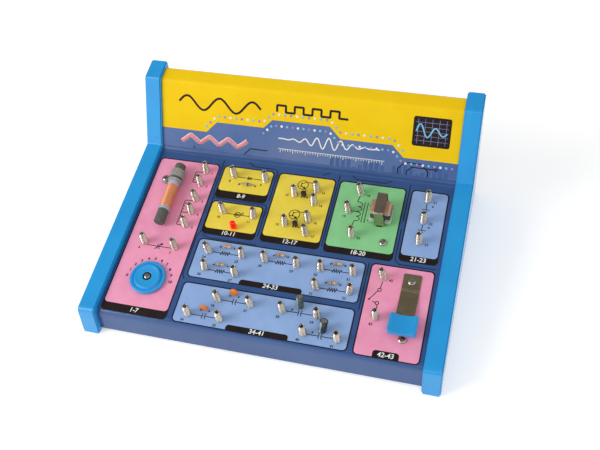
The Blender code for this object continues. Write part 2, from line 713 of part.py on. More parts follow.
post_middle = POST_AT - Vector((0.0, 0.0, (PANEL_WALL + FIT + post_length + PASS) / 2))
post = peg(POST_RADIUS, post_length - PANEL_WALL - FIT + PASS, POST_SIDES)
moved(post, DECK_MATRIX @ Matrix.Translation(post_middle))
post_hole = peg(PAN_SHANK + FIT, 2 * POST_PILOT, PAN_SIDES)
moved(post_hole, DECK_MATRIX @ Matrix.Translation(POST_AT))
sinks = []
for side in (-1, 1):
    middle = (side * (inner_half - LUG.x / 2), from_front(LUG_FRONT + LUG.y / 2), BASE_LOW)
    for radius, depth in ((SCREW_RADIUS, BASE_THICK + PASS), (BASE_SCREW_HEAD, BASE_SCREW_SINK)):
        sinks.append(moved(peg(radius + FIT, 2 * depth, PAN_SIDES), Matrix.Translation(middle)))
piece(
    "base_cover", [plate, bay_shell, post], BASE_GREY,
    cuts=[bay_room, track_body, track_side, post_hole] + sinks,
)

# Battery door: tongues in the track, finger ribs below
door_zero = Vector((BAY_X, from_front(DOOR_FRONT), 0.0))
door_long = DOOR_BACK - DOOR_FRONT
slab = block((-DOOR_HALF, 0.0, DOOR_LOW), (DOOR_HALF, door_long, DOOR_HIGH))
tongue_back = PANEL_CORNERS[-1].x - PANEL_WALL - FIT - DOOR_FRONT
tongue_half = DOOR_HALF + DOOR_TONGUE
tongues = block(
    (-tongue_half, 0.0, DOOR_HIGH - DOOR_TONGUE_HIGH), (tongue_half, tongue_back, DOOR_HIGH),
)
ribs = []
for number in range(DOOR_RIBS):
    start = DOOR_RIB_FIRST - DOOR_FRONT + number * DOOR_RIB_STEP
    ribs.append(block(
        (-DOOR_RIB.x / 2, start, DOOR_LOW - DOOR_RIB.z),
        (DOOR_RIB.x / 2, start + DOOR_RIB.y, DOOR_LOW + DOOR_RIB.z),
    ))
door = piece("battery_door", [slab, tongues] + ribs, BASE_GREY)
door.location = door_zero

# Two cells lie head to tail, between one link strip and two single contacts
cell_row = [BAY_FRONT + BAY_WIDTH / 2 + side * CELL_PITCH / 2 for side in (-1, 1)]
cell_end = CELL_LENGTH / 2
cell_shoulder = CELL_BODY - cell_end
cell_profile = [
    (0.0, -cell_end), (CELL_RADIUS - CELL_EDGE, -cell_end), (CELL_RADIUS, CELL_EDGE - cell_end),
    (CELL_RADIUS, cell_shoulder - CELL_EDGE), (CELL_RADIUS - CELL_EDGE, cell_shoulder),
    (CELL_NUB, cell_shoulder), (CELL_NUB, cell_end), (0.0, cell_end),
]
for number, (row, facing) in enumerate(zip(cell_row, (1, -1)), start=1):
    cell = piece(f"battery_cell_{number}", [turned(cell_profile, CELL_SIDES)], CELL)
    cell.location = (BAY_X, from_front(row), CELL_HEIGHT)
    cell.rotation_euler = (0.0, facing * math.pi / 2, 0.0)


def contact(name, side, rows):
    """Contact strip on one end wall of the bay, with a dimple for each cell."""
    wall = side * (bay_half - FIT)
    face = wall - side * CONTACT_THICK
    tip = side * (CELL_LENGTH / 2 + FIT)
    strip = block(
        (min(wall, face), from_front(rows[0] - CONTACT_WIDE / 2), CELL_HEIGHT - CONTACT_HIGH / 2),
        (max(wall, face), from_front(rows[-1] + CONTACT_WIDE / 2), CELL_HEIGHT + CONTACT_HIGH / 2),
    )
    shapes = [strip]
    for row in rows:
        start = (wall + face) / 2
        height = abs(tip - start)
        dimple_profile = [(0.0, 0.0), (DIMPLE_RADIUS, 0.0), (DIMPLE_TIP, height), (0.0, height)]
        dimple = turned(dimple_profile, DIMPLE_SIDES)
        turn = Matrix.Rotation(-side * math.pi / 2, 4, "Y")
        shapes.append(moved(dimple, Matrix.Translation((start, from_front(row), CELL_HEIGHT)) @ turn))
    made = piece(name, shapes, STEEL)
    made.location = (BAY_X, 0.0, 0.0)


contact("battery_link_strip", -1, cell_row)
contact("battery_contact_front", 1, cell_row[:1])
contact("battery_contact_back", 1, cell_row[1:])


def cross(top):
    """Cross recess cutter for a screw head with its top at this height."""
    bars = []
    for long, wide in ((CROSS_LONG, CROSS_WIDE), (CROSS_WIDE, CROSS_LONG)):
        bars.append(block((-long, -wide, top - CROSS_DEEP), (long, wide, top + PASS)))
    return bars


def pan_screw(name, head, high, shank, long, parent=None):
    profile = [(0.0, -long), (shank, -long), (shank, 0.0), (head, 0.0)]
    profile += [(head * wide, high * tall) for wide, tall in PAN_SHARE] + [(0.0, high)]
    return piece(name, [turned(profile, PAN_SIDES)], STEEL, parent, cuts=cross(high))


for name, side in (("base_screw_left", -1), ("base_screw_right", 1)):
    screw = pan_screw(name, BASE_SCREW_HEAD, BASE_SCREW_HEAD_HIGH, SCREW_RADIUS, BASE_SCREW_LONG)
    sink_floor = BASE_LOW + BASE_SCREW_SINK - FIT
    screw.location = (side * (inner_half - LUG.x / 2), from_front(LUG_FRONT + LUG.y / 2), sink_floor)
    screw.rotation_euler = (math.pi, 0.0, 0.0)

for name, spot, height in (
    ("rod_clip_screw", EAR_AT, 2 * FIT + EAR_THICK), ("panel_screw", POST_AT, FIT),
    ("key_screw", KEY_SCREW_AT, 2 * FIT + KEY_THICK), ("key_contact_screw", KEY_CONTACT_AT, FIT),
):
    screw = pan_screw(name, PAN_RADIUS, PAN_HIGH, PAN_SHANK, PAN_LONG, deck)
    screw.location = spot + Vector((0.0, 0.0, height))


# Spring terminals
def spring():
    return turned([
        (0.0, -TAIL_LOW), (TAIL_RADIUS, -TAIL_LOW), (TAIL_RADIUS, FIT), (SPRING_FOOT, FIT),
        (SPRING_TIP, SPRING_HIGH), (SPRING_BORE_TIP, SPRING_HIGH),
        (SPRING_BORE_FOOT, SPRING_FLOOR), (0.0, SPRING_FLOOR),
    ], SPRING_SIDES)


for number, spot in TERMINAL_STEPS.items():
    if number not in SOLDERED:
        terminal = piece(f"spring_terminal_{number}", [spring()], NICKEL, deck)
        terminal.location = flat(spot)


# Components soldered between their springs, each set one body
def below(point):
    return Vector((point.x, point.y, -LEAD_LOW))


def lead(terminal, foot, *upper):
    """Wire from a spring tail below the deck to its hole, then up through the given points."""
    return rod([below(flat(TERMINAL_STEPS[terminal])), below(foot), *upper], LEAD_RADIUS, LEAD_SIDES)


def springs_of(numbers):
    return [moved(spring(), Matrix.Translation(flat(TERMINAL_STEPS[number]))) for number in numbers]


def lying(bm, middle, height):
    """Turned shape laid along x over a point of the deck."""
    turn = Matrix.Rotation(math.pi / 2, 4, "Y")
    return moved(bm, Matrix.Translation(middle + Vector((0.0, 0.0, height))) @ turn)


def axial(name, numbers, centre, span, profile, height, surface):
    """Component with one wire end on each side, its leads bent down into the deck."""
    left, right = axial_feet(centre, span)
    up = Vector((0.0, 0.0, height))
    first, second = (below(flat(TERMINAL_STEPS[number])) for number in numbers)
    line = [first, below(left), left + up, right + up, below(right), second]
    wire = rod(line, LEAD_RADIUS, LEAD_SIDES)
    body = lying(turned(profile, AXIAL_SIDES), flat(centre), height)
    piece(name, [body, wire] + springs_of(numbers), surface, deck)


half = RESISTOR_LENGTH / 2
end = half - RESISTOR_CAP
resistor_profile = [
    (0.0, -half), (RESISTOR_WAIST, -half), (RESISTOR_RADIUS, RESISTOR_EDGE - half),
    (RESISTOR_RADIUS, -end), (RESISTOR_WAIST, RESISTOR_EDGE - end),
    (RESISTOR_WAIST, end - RESISTOR_EDGE), (RESISTOR_RADIUS, end),
    (RESISTOR_RADIUS, half - RESISTOR_EDGE), (RESISTOR_WAIST, half), (0.0, half),
]
for name, (first, second, centre) in RESISTOR_STEPS.items():
    axial(name, (first, second), centre, RESISTOR_SPAN, resistor_profile, RESISTOR_HIGH, BEIGE)

half = DIODE_LENGTH / 2
diode_profile = [
    (0.0, -half), (DIODE_RADIUS - DIODE_EDGE, -half), (DIODE_RADIUS, DIODE_EDGE - half),
    (DIODE_RADIUS, half - DIODE_EDGE), (DIODE_RADIUS - DIODE_EDGE, half), (0.0, half),
]
axial("diode_8_9", DIODE_STEPS[:2], DIODE_STEPS[2], DIODE_SPAN, diode_profile, DIODE_HIGH, GLASS)

# Light-emitting diode: flange, straight body, dome
led_profile = [
    (0.0, LED_LOW), (LED_FLANGE, LED_LOW), (LED_FLANGE, LED_LOW + LED_FLANGE_HIGH),
    (LED_RADIUS, LED_LOW + LED_FLANGE_HIGH), (LED_RADIUS, LED_LOW + LED_STRAIGHT),
]
dome_foot = LED_LOW + LED_STRAIGHT
for step in range(1, LED_DOME_STEPS):
    angle = TURN / 4 * step / LED_DOME_STEPS
    led_profile.append((LED_RADIUS * math.cos(angle), dome_foot + LED_RADIUS * math.sin(angle)))
led_profile.append((0.0, dome_foot + LED_RADIUS))
led_body = moved(turned(led_profile, LED_SIDES), Matrix.Translation(flat(LED_STEPS[2])))
led_leads = [
    lead(number, foot, foot + Vector((0.0, 0.0, LED_LEAD_TOP)))
    for number, foot in zip(LED_STEPS[:2], axial_feet(LED_STEPS[2], LED_PITCH))
]
piece("led_10_11", [led_body] + led_leads + springs_of(LED_STEPS[:2]), RED, deck)

# Transistors: round case with a flat face towards the front
flat_angle = math.asin(CASE_FLAT / CASE_RADIUS)
for name, (left, back, front, centre) in TRANSISTOR_STEPS.items():
    outline = []
    for step in range(CASE_STEPS):
        angle = -flat_angle + (math.pi + 2 * flat_angle) * step / (CASE_STEPS - 1)
        outline.append((CASE_RADIUS * math.cos(angle), CASE_RADIUS * math.sin(angle)))
    case = moved(prism(outline, CASE_LOW, CASE_HIGH, "Z"), Matrix.Translation(flat(centre)))
    feet = [flat(centre) + Vector((side * CASE_PITCH, 0.0, 0.0)) for side in (-1, 0, 1)]
    top = Vector((0.0, 0.0, (CASE_LOW + CASE_HIGH) / 2))
    pull = Vector((CASE_RADIUS - CASE_PITCH, 0.0, 0.0)) - Vector((2 * LEAD_RADIUS, 0.0, 0.0))
    knee = Vector((0.0, 0.0, CASE_LOW / 2))
    legs = [
        lead(left, feet[0], feet[0] + knee, feet[0] - pull + top), lead(front, feet[1], feet[1] + top),
        lead(back, feet[2], feet[2] + knee, feet[2] + pull + top),
    ]
    piece(name, [case] + legs + springs_of((left, back, front)), BLACK, deck)

# Disc capacitors: lens on two wires, leaning back
disc_profile = [
    (0.0, -DISC_THICK / 2), (DISC_RADIUS - DISC_RIM, -DISC_THICK / 2), (DISC_RADIUS, 0.0),
    (DISC_RADIUS - DISC_RIM, DISC_THICK / 2), (0.0, DISC_THICK / 2),
]
for (name, (first, second, centre)), lean in zip(DISC_STEPS.items(), DISC_LEAN_DEGREES):
    swing = Matrix.Translation(flat(centre)) @ Matrix.Rotation(-math.radians(lean), 4, "X")
    upright = Matrix.Translation((0.0, 0.0, DISC_CENTRE)) @ Matrix.Rotation(math.pi / 2, 4, "X")
    lens = moved(turned(disc_profile, DISC_SIDES), swing @ upright)
    leads = []
    for number, foot, side in zip((first, second), axial_feet(centre, DISC_SPAN), (-1, 1)):
        inner = swing @ Vector((side * DISC_LEAD_IN, 0.0, DISC_LEAD_TOP))
        leads.append(lead(number, foot, foot + Vector((0.0, 0.0, DISC_LEAD_BEND)), inner))
    piece(name, [lens] + leads + springs_of((first, second)), ORANGE, deck)

# Can capacitors: sleeve with a crimp near the foot, leaning on their leads
for (name, (first, second, centre)), radius, (back, right) in zip(
    CAN_STEPS.items(), CAN_RADII, CAN_LEAN_DEGREES
):
    groove = CAN_LOW + CAN_GROOVE
    profile = [
        (0.0, CAN_LOW), (radius - CAN_EDGE, CAN_LOW), (radius, CAN_LOW + CAN_EDGE),
        (radius, groove - CAN_GROOVE_WIDE / 2), (radius - CAN_GROOVE_DEEP, groove),
        (radius, groove + CAN_GROOVE_WIDE / 2), (radius, CAN_LOW + CAN_LONG - CAN_EDGE),
        (radius - CAN_EDGE, CAN_LOW + CAN_LONG), (0.0, CAN_LOW + CAN_LONG),
    ]
    lean = Euler((-math.radians(back), math.radians(right), 0.0)).to_matrix().to_4x4()
    swing = Matrix.Translation(flat(centre)) @ lean
    can = moved(turned(profile, CAN_SIDES), swing)
    leads = []
    for number, foot, side in zip((first, second), axial_feet(centre, CAN_PITCH), (-1, 1)):
        inner = swing @ Vector((side * CAN_PITCH / 2, 0.0, CAN_LOW + CAN_LEAD_IN))
        leads.append(lead(number, foot, foot, inner))
    piece(name, [can] + leads + springs_of((first, second)), SLEEVE, deck)


# Antenna, built along the rod and laid on its axis over the deck
ROD_ZERO = Matrix.Translation(ROD_FRONT + Vector((0.0, 0.0, ROD_HIGH)))
ROD_ZERO = ROD_ZERO @ Matrix.Rotation(-math.pi / 2, 4, "X")


def along_rod(bm):
    return moved(bm, ROD_ZERO)


bore = ROD_RADIUS + FIT
rod_profile = [(0.0, CAP_SKIN + FIT), (ROD_RADIUS, CAP_SKIN + FIT),
               (ROD_RADIUS, ROD_LONG - CAP_SKIN - FIT), (0.0, ROD_LONG - CAP_SKIN - FIT)]
piece("ferrite_rod", [along_rod(turned(rod_profile, ROD_SIDES))], FERRITE, deck)
low_cap = [
    (0.0, 0.0), (CAP_RADIUS - CAP_EDGE, 0.0), (CAP_RADIUS, CAP_EDGE), (CAP_RADIUS, CAP_LOW_LONG),
    (bore, CAP_LOW_LONG), (bore, CAP_SKIN), (0.0, CAP_SKIN),
]
piece("rod_cap_front", [along_rod(turned(low_cap, CAP_SIDES))], GREY_CAP, deck)
top_cap = [
    (0.0, ROD_LONG - CAP_SKIN), (bore, ROD_LONG - CAP_SKIN), (bore, ROD_LONG - CAP_TOP_LONG),
    (CAP_RADIUS, ROD_LONG - CAP_TOP_LONG), (CAP_RADIUS, ROD_LONG - CAP_EDGE),
    (CAP_RADIUS - CAP_EDGE, ROD_LONG), (0.0, ROD_LONG),
]
piece("rod_cap_back", [along_rod(turned(top_cap, CAP_SIDES))], GREY_CAP, deck)


def tube_ring(profile, sides):
    """Turned ring whose closed line never meets the axis."""
    bm = bmesh.new()
    verts = [bm.verts.new((radius, 0.0, height)) for radius, height in profile]
    edges = [bm.edges.new(pair) for pair in zip(verts, verts[1:] + verts[:1])]
    bmesh.ops.spin(bm, geom=verts + edges, axis=(0, 0, 1), cent=(0, 0, 0), angle=TURN, steps=sides)
    return grown(bm)


wound_low = FORMER_LOW + FORMER_FLANGE_LONG
wound_top = FORMER_TOP - FORMER_FLANGE_LONG
former_profile = [
    (bore, FORMER_LOW), (FORMER_FLANGE, FORMER_LOW), (FORMER_FLANGE, wound_low), (FORMER_RADIUS, wound_low),
    (FORMER_RADIUS, wound_top), (FORMER_FLANGE, wound_top), (FORMER_FLANGE, FORMER_TOP), (bore, FORMER_TOP),
]
piece("coil_former", [along_rod(tube_ring(former_profile, FORMER_SIDES))], FORMER, deck)

# Winding: one unbroken wire round the former
coil_low = wound_low + COIL_MARGIN
coil_top = wound_top - COIL_MARGIN
coil_count = COIL_LOOPS * COIL_STEPS
coil_line = []
for step in range(coil_count + 1):
    angle = TURN * step / COIL_STEPS
    height = coil_low + (coil_top - coil_low) * step / coil_count
    coil_line.append(Vector((COIL_RADIUS * math.cos(angle), COIL_RADIUS * math.sin(angle), height)))
piece("coil_winding", [along_rod(rod(coil_line, WIRE_RADIUS, WIRE_SIDES))], COPPER, deck)
coil_step = min((after - before).length for before, after in zip(coil_line, coil_line[COIL_STEPS:]))
coil_gap = coil_step - 2 * WIRE_RADIUS
print(f"coil_winding: {COIL_LOOPS} loops, gap between loops {coil_gap / MM:.2f} mm")

# Clip: ribbed collar with a groove, foot below and a screwed ear beside it
ribbed = []
for number in range(COLLAR_SIDES):
    angle = TURN * number / COLLAR_SIDES
    radius = COLLAR_RADIUS - (number % 2) * COLLAR_RIB
    ribbed.append((radius * math.cos(angle), radius * math.sin(angle)))
collar = prism(ribbed, COLLAR_LOW, COLLAR_TOP, "Z")
collar_bore = peg(bore, 2 * ROD_LONG, FORMER_SIDES)
groove_at = COLLAR_LOW + COLLAR_GROOVE_AT
groove_end = groove_at + COLLAR_GROOVE
groove_floor = COLLAR_RADIUS - COLLAR_GROOVE_DEEP
collar_groove = tube_ring([
    (groove_floor, groove_at), (COLLAR_RADIUS + PASS, groove_at),
    (COLLAR_RADIUS + PASS, groove_end), (groove_floor, groove_end),
], FORMER_SIDES)
foot_low = Vector((-CLIP_FOOT_HALF, groove_end + FIT, FIT))
foot_high = Vector((CLIP_FOOT_HALF, COLLAR_TOP - FIT, ROD_HIGH - bore - FIT))
clip_foot = block(ROD_FRONT + foot_low, ROD_FRONT + foot_high)
ear_reach = EAR_RADIUS - FIT
ear_arm = block(
    EAR_AT + Vector((0.0, -ear_reach, FIT)), EAR_AT + Vector((EAR_OUT, ear_reach, FIT + EAR_THICK)),
)
ear_middle = EAR_AT + Vector((0.0, 0.0, FIT + EAR_THICK / 2))
ear_round = moved(peg(EAR_RADIUS, EAR_THICK, CAP_SIDES), Matrix.Translation(ear_middle))
piece(
    "rod_clip", [along_rod(collar), clip_foot, ear_arm, ear_round], CLIP_GREY, deck,
    cuts=[along_rod(collar_groove), along_rod(collar_bore), deck_bore(EAR_AT, PAN_SHANK_HOLE, PAN_SIDES)],
)

# Transformer core: two windows leave a middle leg for the bobbin
half_long = CORE_LONG / 2
core_shape = block((-CORE_HALF, -half_long, CORE_LOW), (CORE_HALF, half_long, CORE_TOP))
windows = []
for side in (-1, 1):
    near, far = side * LEG_HALF, side * (half_long - YOKE)
    windows.append(block(
        (-CORE_HALF - PASS, min(near, far), CORE_LOW + YOKE),
        (CORE_HALF + PASS, max(near, far), CORE_TOP - YOKE),
    ))
transformer = piece("transformer_core", [core_shape], CORE, deck, cuts=windows)
transformer.location = CORE_AT

# Bobbin: winding round the middle leg, cheeks below, solder pins on the right
wind_long = half_long - YOKE - FIT
wind_low, wind_top = CORE_LOW + YOKE + FIT, CORE_TOP - YOKE - FIT
wound = block((-BOBBIN_HALF, -wind_long, wind_low), (BOBBIN_HALF, wind_long, wind_top))
softened(wound, BOBBIN_EDGE)
cheeks = []
for side in (-1, 1):
    near, far = side * (CORE_HALF + FIT), side * CHEEK_HALF
    cheeks.append(block(
        (min(near, far), -CHEEK_LONG / 2, CORE_LOW), (max(near, far), CHEEK_LONG / 2, CORE_LOW + CHEEK_HIGH),
    ))
    cheeks.append(block(
        (min(near, side * (CHEEK_HALF - BOBBIN_EDGE)), -wind_long + BOBBIN_EDGE, CORE_LOW + FIT),
        (max(near, side * (CHEEK_HALF - BOBBIN_EDGE)), wind_long - BOBBIN_EDGE, wind_low + BOBBIN_EDGE),
    ))
pins = []
for number in range(PINS):
    along = (number - (PINS - 1) / 2) * PIN_STEP
    pins.append(block(
        (BOBBIN_HALF - PIN.x / 2, along - PIN.y / 2, PIN_HEIGHT),
        (BOBBIN_HALF + PIN.x, along + PIN.y / 2, PIN_HEIGHT + PIN.z),
    ))
leg_room = block(
    (-CORE_HALF - FIT, -LEG_HALF - FIT, -PASS), (CORE_HALF + FIT, LEG_HALF + FIT, CORE_TOP + PASS),
)
bobbin = piece("transformer_bobbin", [wound] + cheeks + pins, TAPE, deck, cuts=[leg_room])
bobbin.location = CORE_AT

# Strap over the core, its tabs through the deck
strap_top = CORE_TOP + FIT
bridge = block(
    (-STRAP_HALF, -strap_reach - STRAP_THICK, FIT),
    (STRAP_HALF, strap_reach + STRAP_THICK, strap_top + STRAP_THICK),
)
strap_room = block(
    (-STRAP_HALF - PASS, -strap_reach, -STRAP_TAB_LOW), (STRAP_HALF + PASS, strap_reach, strap_top),
)
tabs = []
for side in (-1, 1):
    near, far = side * strap_reach, side * (strap_reach + STRAP_THICK)
    tabs.append(block(
        (-STRAP_TAB_HALF, min(near, far), -STRAP_TAB_LOW),
        (STRAP_TAB_HALF, max(near, far), FIT + STRAP_THICK),
    ))
strap = piece("transformer_strap", [bridge] + tabs, STEEL, deck, cuts=[strap_room])
strap.location = CORE_AT

# Tuning capacitor below the deck; shaft, dial and dial screw turn on one axis
dial_axis = empty("dial_axis", DIAL_AT, parent=deck)
case_top = -PANEL_WALL - FIT
tuner = softened(block(
    (-CAPACITOR_HALF, -CAPACITOR_HALF, case_top - CAPACITOR_HIGH), (CAPACITOR_HALF, CAPACITOR_HALF, case_top),
), CAPACITOR_EDGE)
lugs = []
for number in (-1, 0, 1):
    middle = number * CAPACITOR_LUG_STEP
    top = case_top - CAPACITOR_LUG_DROP
    lugs.append(block(
        (middle - CAPACITOR_LUG.x / 2, -CAPACITOR_HALF - CAPACITOR_LUG.y, top - CAPACITOR_LUG.z),
        (middle + CAPACITOR_LUG.x / 2, -CAPACITOR_HALF + PASS, top),
    ))
shaft_room = peg(SHAFT_RADIUS + FIT, 2 * CAPACITOR_BORE, SHAFT_SIDES)
moved(shaft_room, Matrix.Translation((0.0, 0.0, case_top)))
piece("tuning_capacitor_case", [tuner] + lugs, CREAM, dial_axis, cuts=[shaft_room])
shaft = [
    (0.0, -SHAFT_LOW), (SHAFT_RADIUS, -SHAFT_LOW), (SHAFT_RADIUS, SHAFT_TOP), (SHAFT_BORE, SHAFT_TOP),
    (SHAFT_BORE, SHAFT_TOP - DIAL_SCREW_LONG), (0.0, SHAFT_TOP - DIAL_SCREW_LONG),
]
piece("tuning_shaft", [turned(shaft, SHAFT_SIDES)], BRASS, dial_axis)
hub_bore = SHAFT_RADIUS + FIT
screw_bore = DIAL_SCREW_SHANK + FIT
dial = [
    (hub_bore, DIAL_LOW), (DIAL_RADIUS - DIAL_RIM_EDGE, DIAL_LOW), (DIAL_RADIUS, DIAL_LOW + DIAL_RIM_EDGE),
    (DIAL_RADIUS, DIAL_RIM - DIAL_RIM_EDGE), (DIAL_RADIUS - DIAL_RIM_EDGE, DIAL_RIM),
    (DIAL_STEP + DIAL_STEP_WIDE, DIAL_RIM), (DIAL_STEP, DIAL_RIM - DIAL_STEP_DEEP),
    (DIAL_CROWN, DIAL_CROWN_HIGH), (DIAL_DISH, DIAL_DISH_HIGH), (DIAL_WELL, DIAL_DISH_HIGH),
    (DIAL_WELL, DIAL_WELL_FLOOR), (screw_bore, DIAL_WELL_FLOOR),
    (screw_bore, DIAL_LOW + DIAL_HUB_DEEP), (hub_bore, DIAL_LOW + DIAL_HUB_DEEP),
]
piece("tuning_dial", [tube_ring(dial, DIAL_SIDES)], SKY, dial_axis)
dial_screw = pan_screw(
    "dial_screw", DIAL_SCREW_RADIUS, DIAL_SCREW_HIGH, DIAL_SCREW_SHANK, DIAL_SCREW_LONG, dial_axis,
)
dial_screw.location = (0.0, 0.0, DIAL_WELL_FLOOR + FIT)

# Key: fixed tab, moving arm on the bend line, finger cap on the arm
tab_shape = block((-KEY_HALF, FIT, FIT), (KEY_HALF, KEY_TAB_LONG, FIT + KEY_THICK))
corners = [
    edge for edge in tab_shape.edges
    if all(corner.co.y > KEY_TAB_LONG - WELD for corner in edge.verts)
    and abs(edge.verts[0].co.x - edge.verts[1].co.x) < WELD
]
bmesh.ops.bevel(tab_shape, geom=corners, offset=KEY_CORNER, segments=CORNER_STEPS, affect="EDGES")
tab_bore = deck_bore(Vector((0.0, KEY_SCREW_BACK, 0.0)), PAN_SHANK_HOLE, PAN_SIDES)
leaf_tab = piece("key_leaf_tab", [tab_shape], LEAF, deck, cuts=[tab_bore])
leaf_tab.location = KEY_BEND
hinge_at = KEY_BEND + Vector((0.0, 0.0, FIT + KEY_THICK / 2))
key_hinge = empty("key_hinge", hinge_at, (-math.radians(KEY_RISE), 0.0, 0.0), deck)
leaf = block((-KEY_HALF, -KEY_ARM, -KEY_THICK / 2), (KEY_HALF, -FIT, KEY_THICK / 2))
piece("key_leaf_arm", [leaf], LEAF, key_hinge)
cap_block = block(
    (-KEY_CAP_HALF, -KEY_CAP_FRONT, -KEY_THICK / 2), (KEY_CAP_HALF, -KEY_CAP_BACK, KEY_CAP_HIGH),
)
uprights = [edge for edge in cap_block.edges if abs(edge.verts[0].co.z - edge.verts[1].co.z) > KEY_THICK]
bmesh.ops.bevel(cap_block, geom=uprights, offset=KEY_CAP_ROUND, segments=CORNER_STEPS, affect="EDGES")
top_rim = [
    edge for edge in cap_block.edges if all(corner.co.z > KEY_CAP_HIGH - WELD for corner in edge.verts)
]
bmesh.ops.bevel(cap_block, geom=top_rim, offset=KEY_CAP_EDGE, segments=EDGE_STEPS, affect="EDGES")
finger = peg(KEY_DISH_RADIUS, 2 * KEY_CAP_FRONT, KEY_DISH_SIDES)
finger_at = Vector((0.0, -KEY_CAP_FRONT, KEY_CAP_HIGH - KEY_DISH_DEEP + KEY_DISH_RADIUS))
moved(finger, Matrix.Translation(finger_at) @ Matrix.Rotation(math.pi / 2, 4, "X"))
slot_half = KEY_HALF + FIT
leaf_slot = block(
    (-slot_half, -KEY_ARM - FIT, -KEY_THICK - PASS), (slot_half, -KEY_CAP_BACK + PASS, KEY_THICK / 2 + FIT),
)
piece("key_cap", [grown(cap_block)], SKY, key_hinge, cuts=[finger, leaf_slot])
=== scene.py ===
# %% [markdown]
# # Dressing an electronics project kit
#
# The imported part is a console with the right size, holes and joints, but it is plain. This
# lesson gives it the looks of the real thing: glossy moulded rails, a printed deck, wound
# nickel springs and small soldered components. The CAD pieces stay where they are. A piece
# whose shape is already right gets a finish, and a piece that needs finer work is modelled
# again in the same place.

# %% Open the part
import json
import math

import bmesh
import bpy
from mathutils import Matrix, Vector

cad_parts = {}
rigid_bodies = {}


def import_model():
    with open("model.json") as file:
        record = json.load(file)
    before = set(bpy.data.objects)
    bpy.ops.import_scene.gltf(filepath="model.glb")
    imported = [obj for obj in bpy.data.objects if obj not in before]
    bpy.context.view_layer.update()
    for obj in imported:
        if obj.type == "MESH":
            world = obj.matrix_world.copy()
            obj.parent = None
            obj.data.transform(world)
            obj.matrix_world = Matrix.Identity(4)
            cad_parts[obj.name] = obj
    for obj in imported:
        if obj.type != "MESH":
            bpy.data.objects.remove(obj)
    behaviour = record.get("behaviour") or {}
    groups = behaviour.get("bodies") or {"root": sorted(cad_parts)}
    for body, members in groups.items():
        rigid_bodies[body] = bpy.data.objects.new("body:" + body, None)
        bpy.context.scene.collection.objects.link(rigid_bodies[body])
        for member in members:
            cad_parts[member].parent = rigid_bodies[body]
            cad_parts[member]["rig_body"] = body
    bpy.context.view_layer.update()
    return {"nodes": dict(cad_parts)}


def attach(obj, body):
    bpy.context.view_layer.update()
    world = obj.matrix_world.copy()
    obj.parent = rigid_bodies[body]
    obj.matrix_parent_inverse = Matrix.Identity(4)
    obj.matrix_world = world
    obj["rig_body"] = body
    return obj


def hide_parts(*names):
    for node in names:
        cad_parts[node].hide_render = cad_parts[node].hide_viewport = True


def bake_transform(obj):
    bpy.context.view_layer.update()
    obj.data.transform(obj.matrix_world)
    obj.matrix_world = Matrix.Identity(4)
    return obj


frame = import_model()
MM = 0.001

# %% [markdown]
# Nearly everything stands on the sloping deck, and the upright header has a print of its own.
# It is far easier to draw both flat, in plain millimetres, and to tilt each finished piece
# into place at the end. These two matrices do that: x runs across, y up the slope and z
# straight out of the surface.

# %% The two drawing boards
DECK_TILT = math.radians(9.689)
DECK_FOOT = Vector((0.0, -104.04, 22.59)) * MM
DECK = Matrix.Translation(DECK_FOOT) @ Matrix.Rotation(DECK_TILT, 4, "X")
HEADER_TILT = math.radians(64.74)
HEADER_FOOT = Vector((0.0, 64.76, 51.41)) * MM
HEADER = Matrix.Translation(HEADER_FOOT) @ Matrix.Rotation(HEADER_TILT, 4, "X")
HEADER_LONG = 65.2
LEDGE_TURN = math.radians(64.74 - 11.57)
LEDGE_LONG = 15.7
UPRIGHT = Matrix.Identity(4)


def mm(*values):
    """Millimetres as a point in metres."""
    return Vector(values) * MM


print("deck foot", tuple(DECK_FOOT), "header foot", tuple(HEADER_FOOT))

# %% [markdown]
# ## Finishes
#
# Blender's shaders work in linear light, while colours are read off as sRGB hex codes, so one
# function turns the one into the other. A second one adds a node together with its settings
# and links, which keeps each finish short enough to read.

# %% Colour and node helpers
def linear(hex_code):
    """sRGB hex code as linear red, green, blue and full alpha."""
    parts = [int(hex_code[n:n + 2], 16) / 255 for n in (0, 2, 4)]
    return (*(p / 12.92 if p <= 0.04045 else ((p + 0.055) / 1.055) ** 2.4 for p in parts), 1.0)


def add_node(tree, kind, inputs, **settings):
    """Add a node; each input takes a value or the socket that feeds it."""
    made = tree.nodes.new(kind)
    for name, value in settings.items():
        setattr(made, name, value)
    for name, value in inputs.items():
        if isinstance(value, bpy.types.NodeSocket):
            tree.links.new(value, made.inputs[name])
        else:
            made.inputs[name].default_value = value
    return made


print("1E9BDD in linear light:", [round(part, 3) for part in linear("1E9BDD")])

# %% [markdown]
# No real surface has one flat colour. Moulded plastic flows in slightly cloudy, a print has
# a faint mottle, metal plate varies in gloss. So every finish here is two near tones mixed
# by a wide noise, with a gloss that wanders a little, and a fine grain as a bump. The sizes
# of cloud and grain are given in millimetres and turned into noise scales.

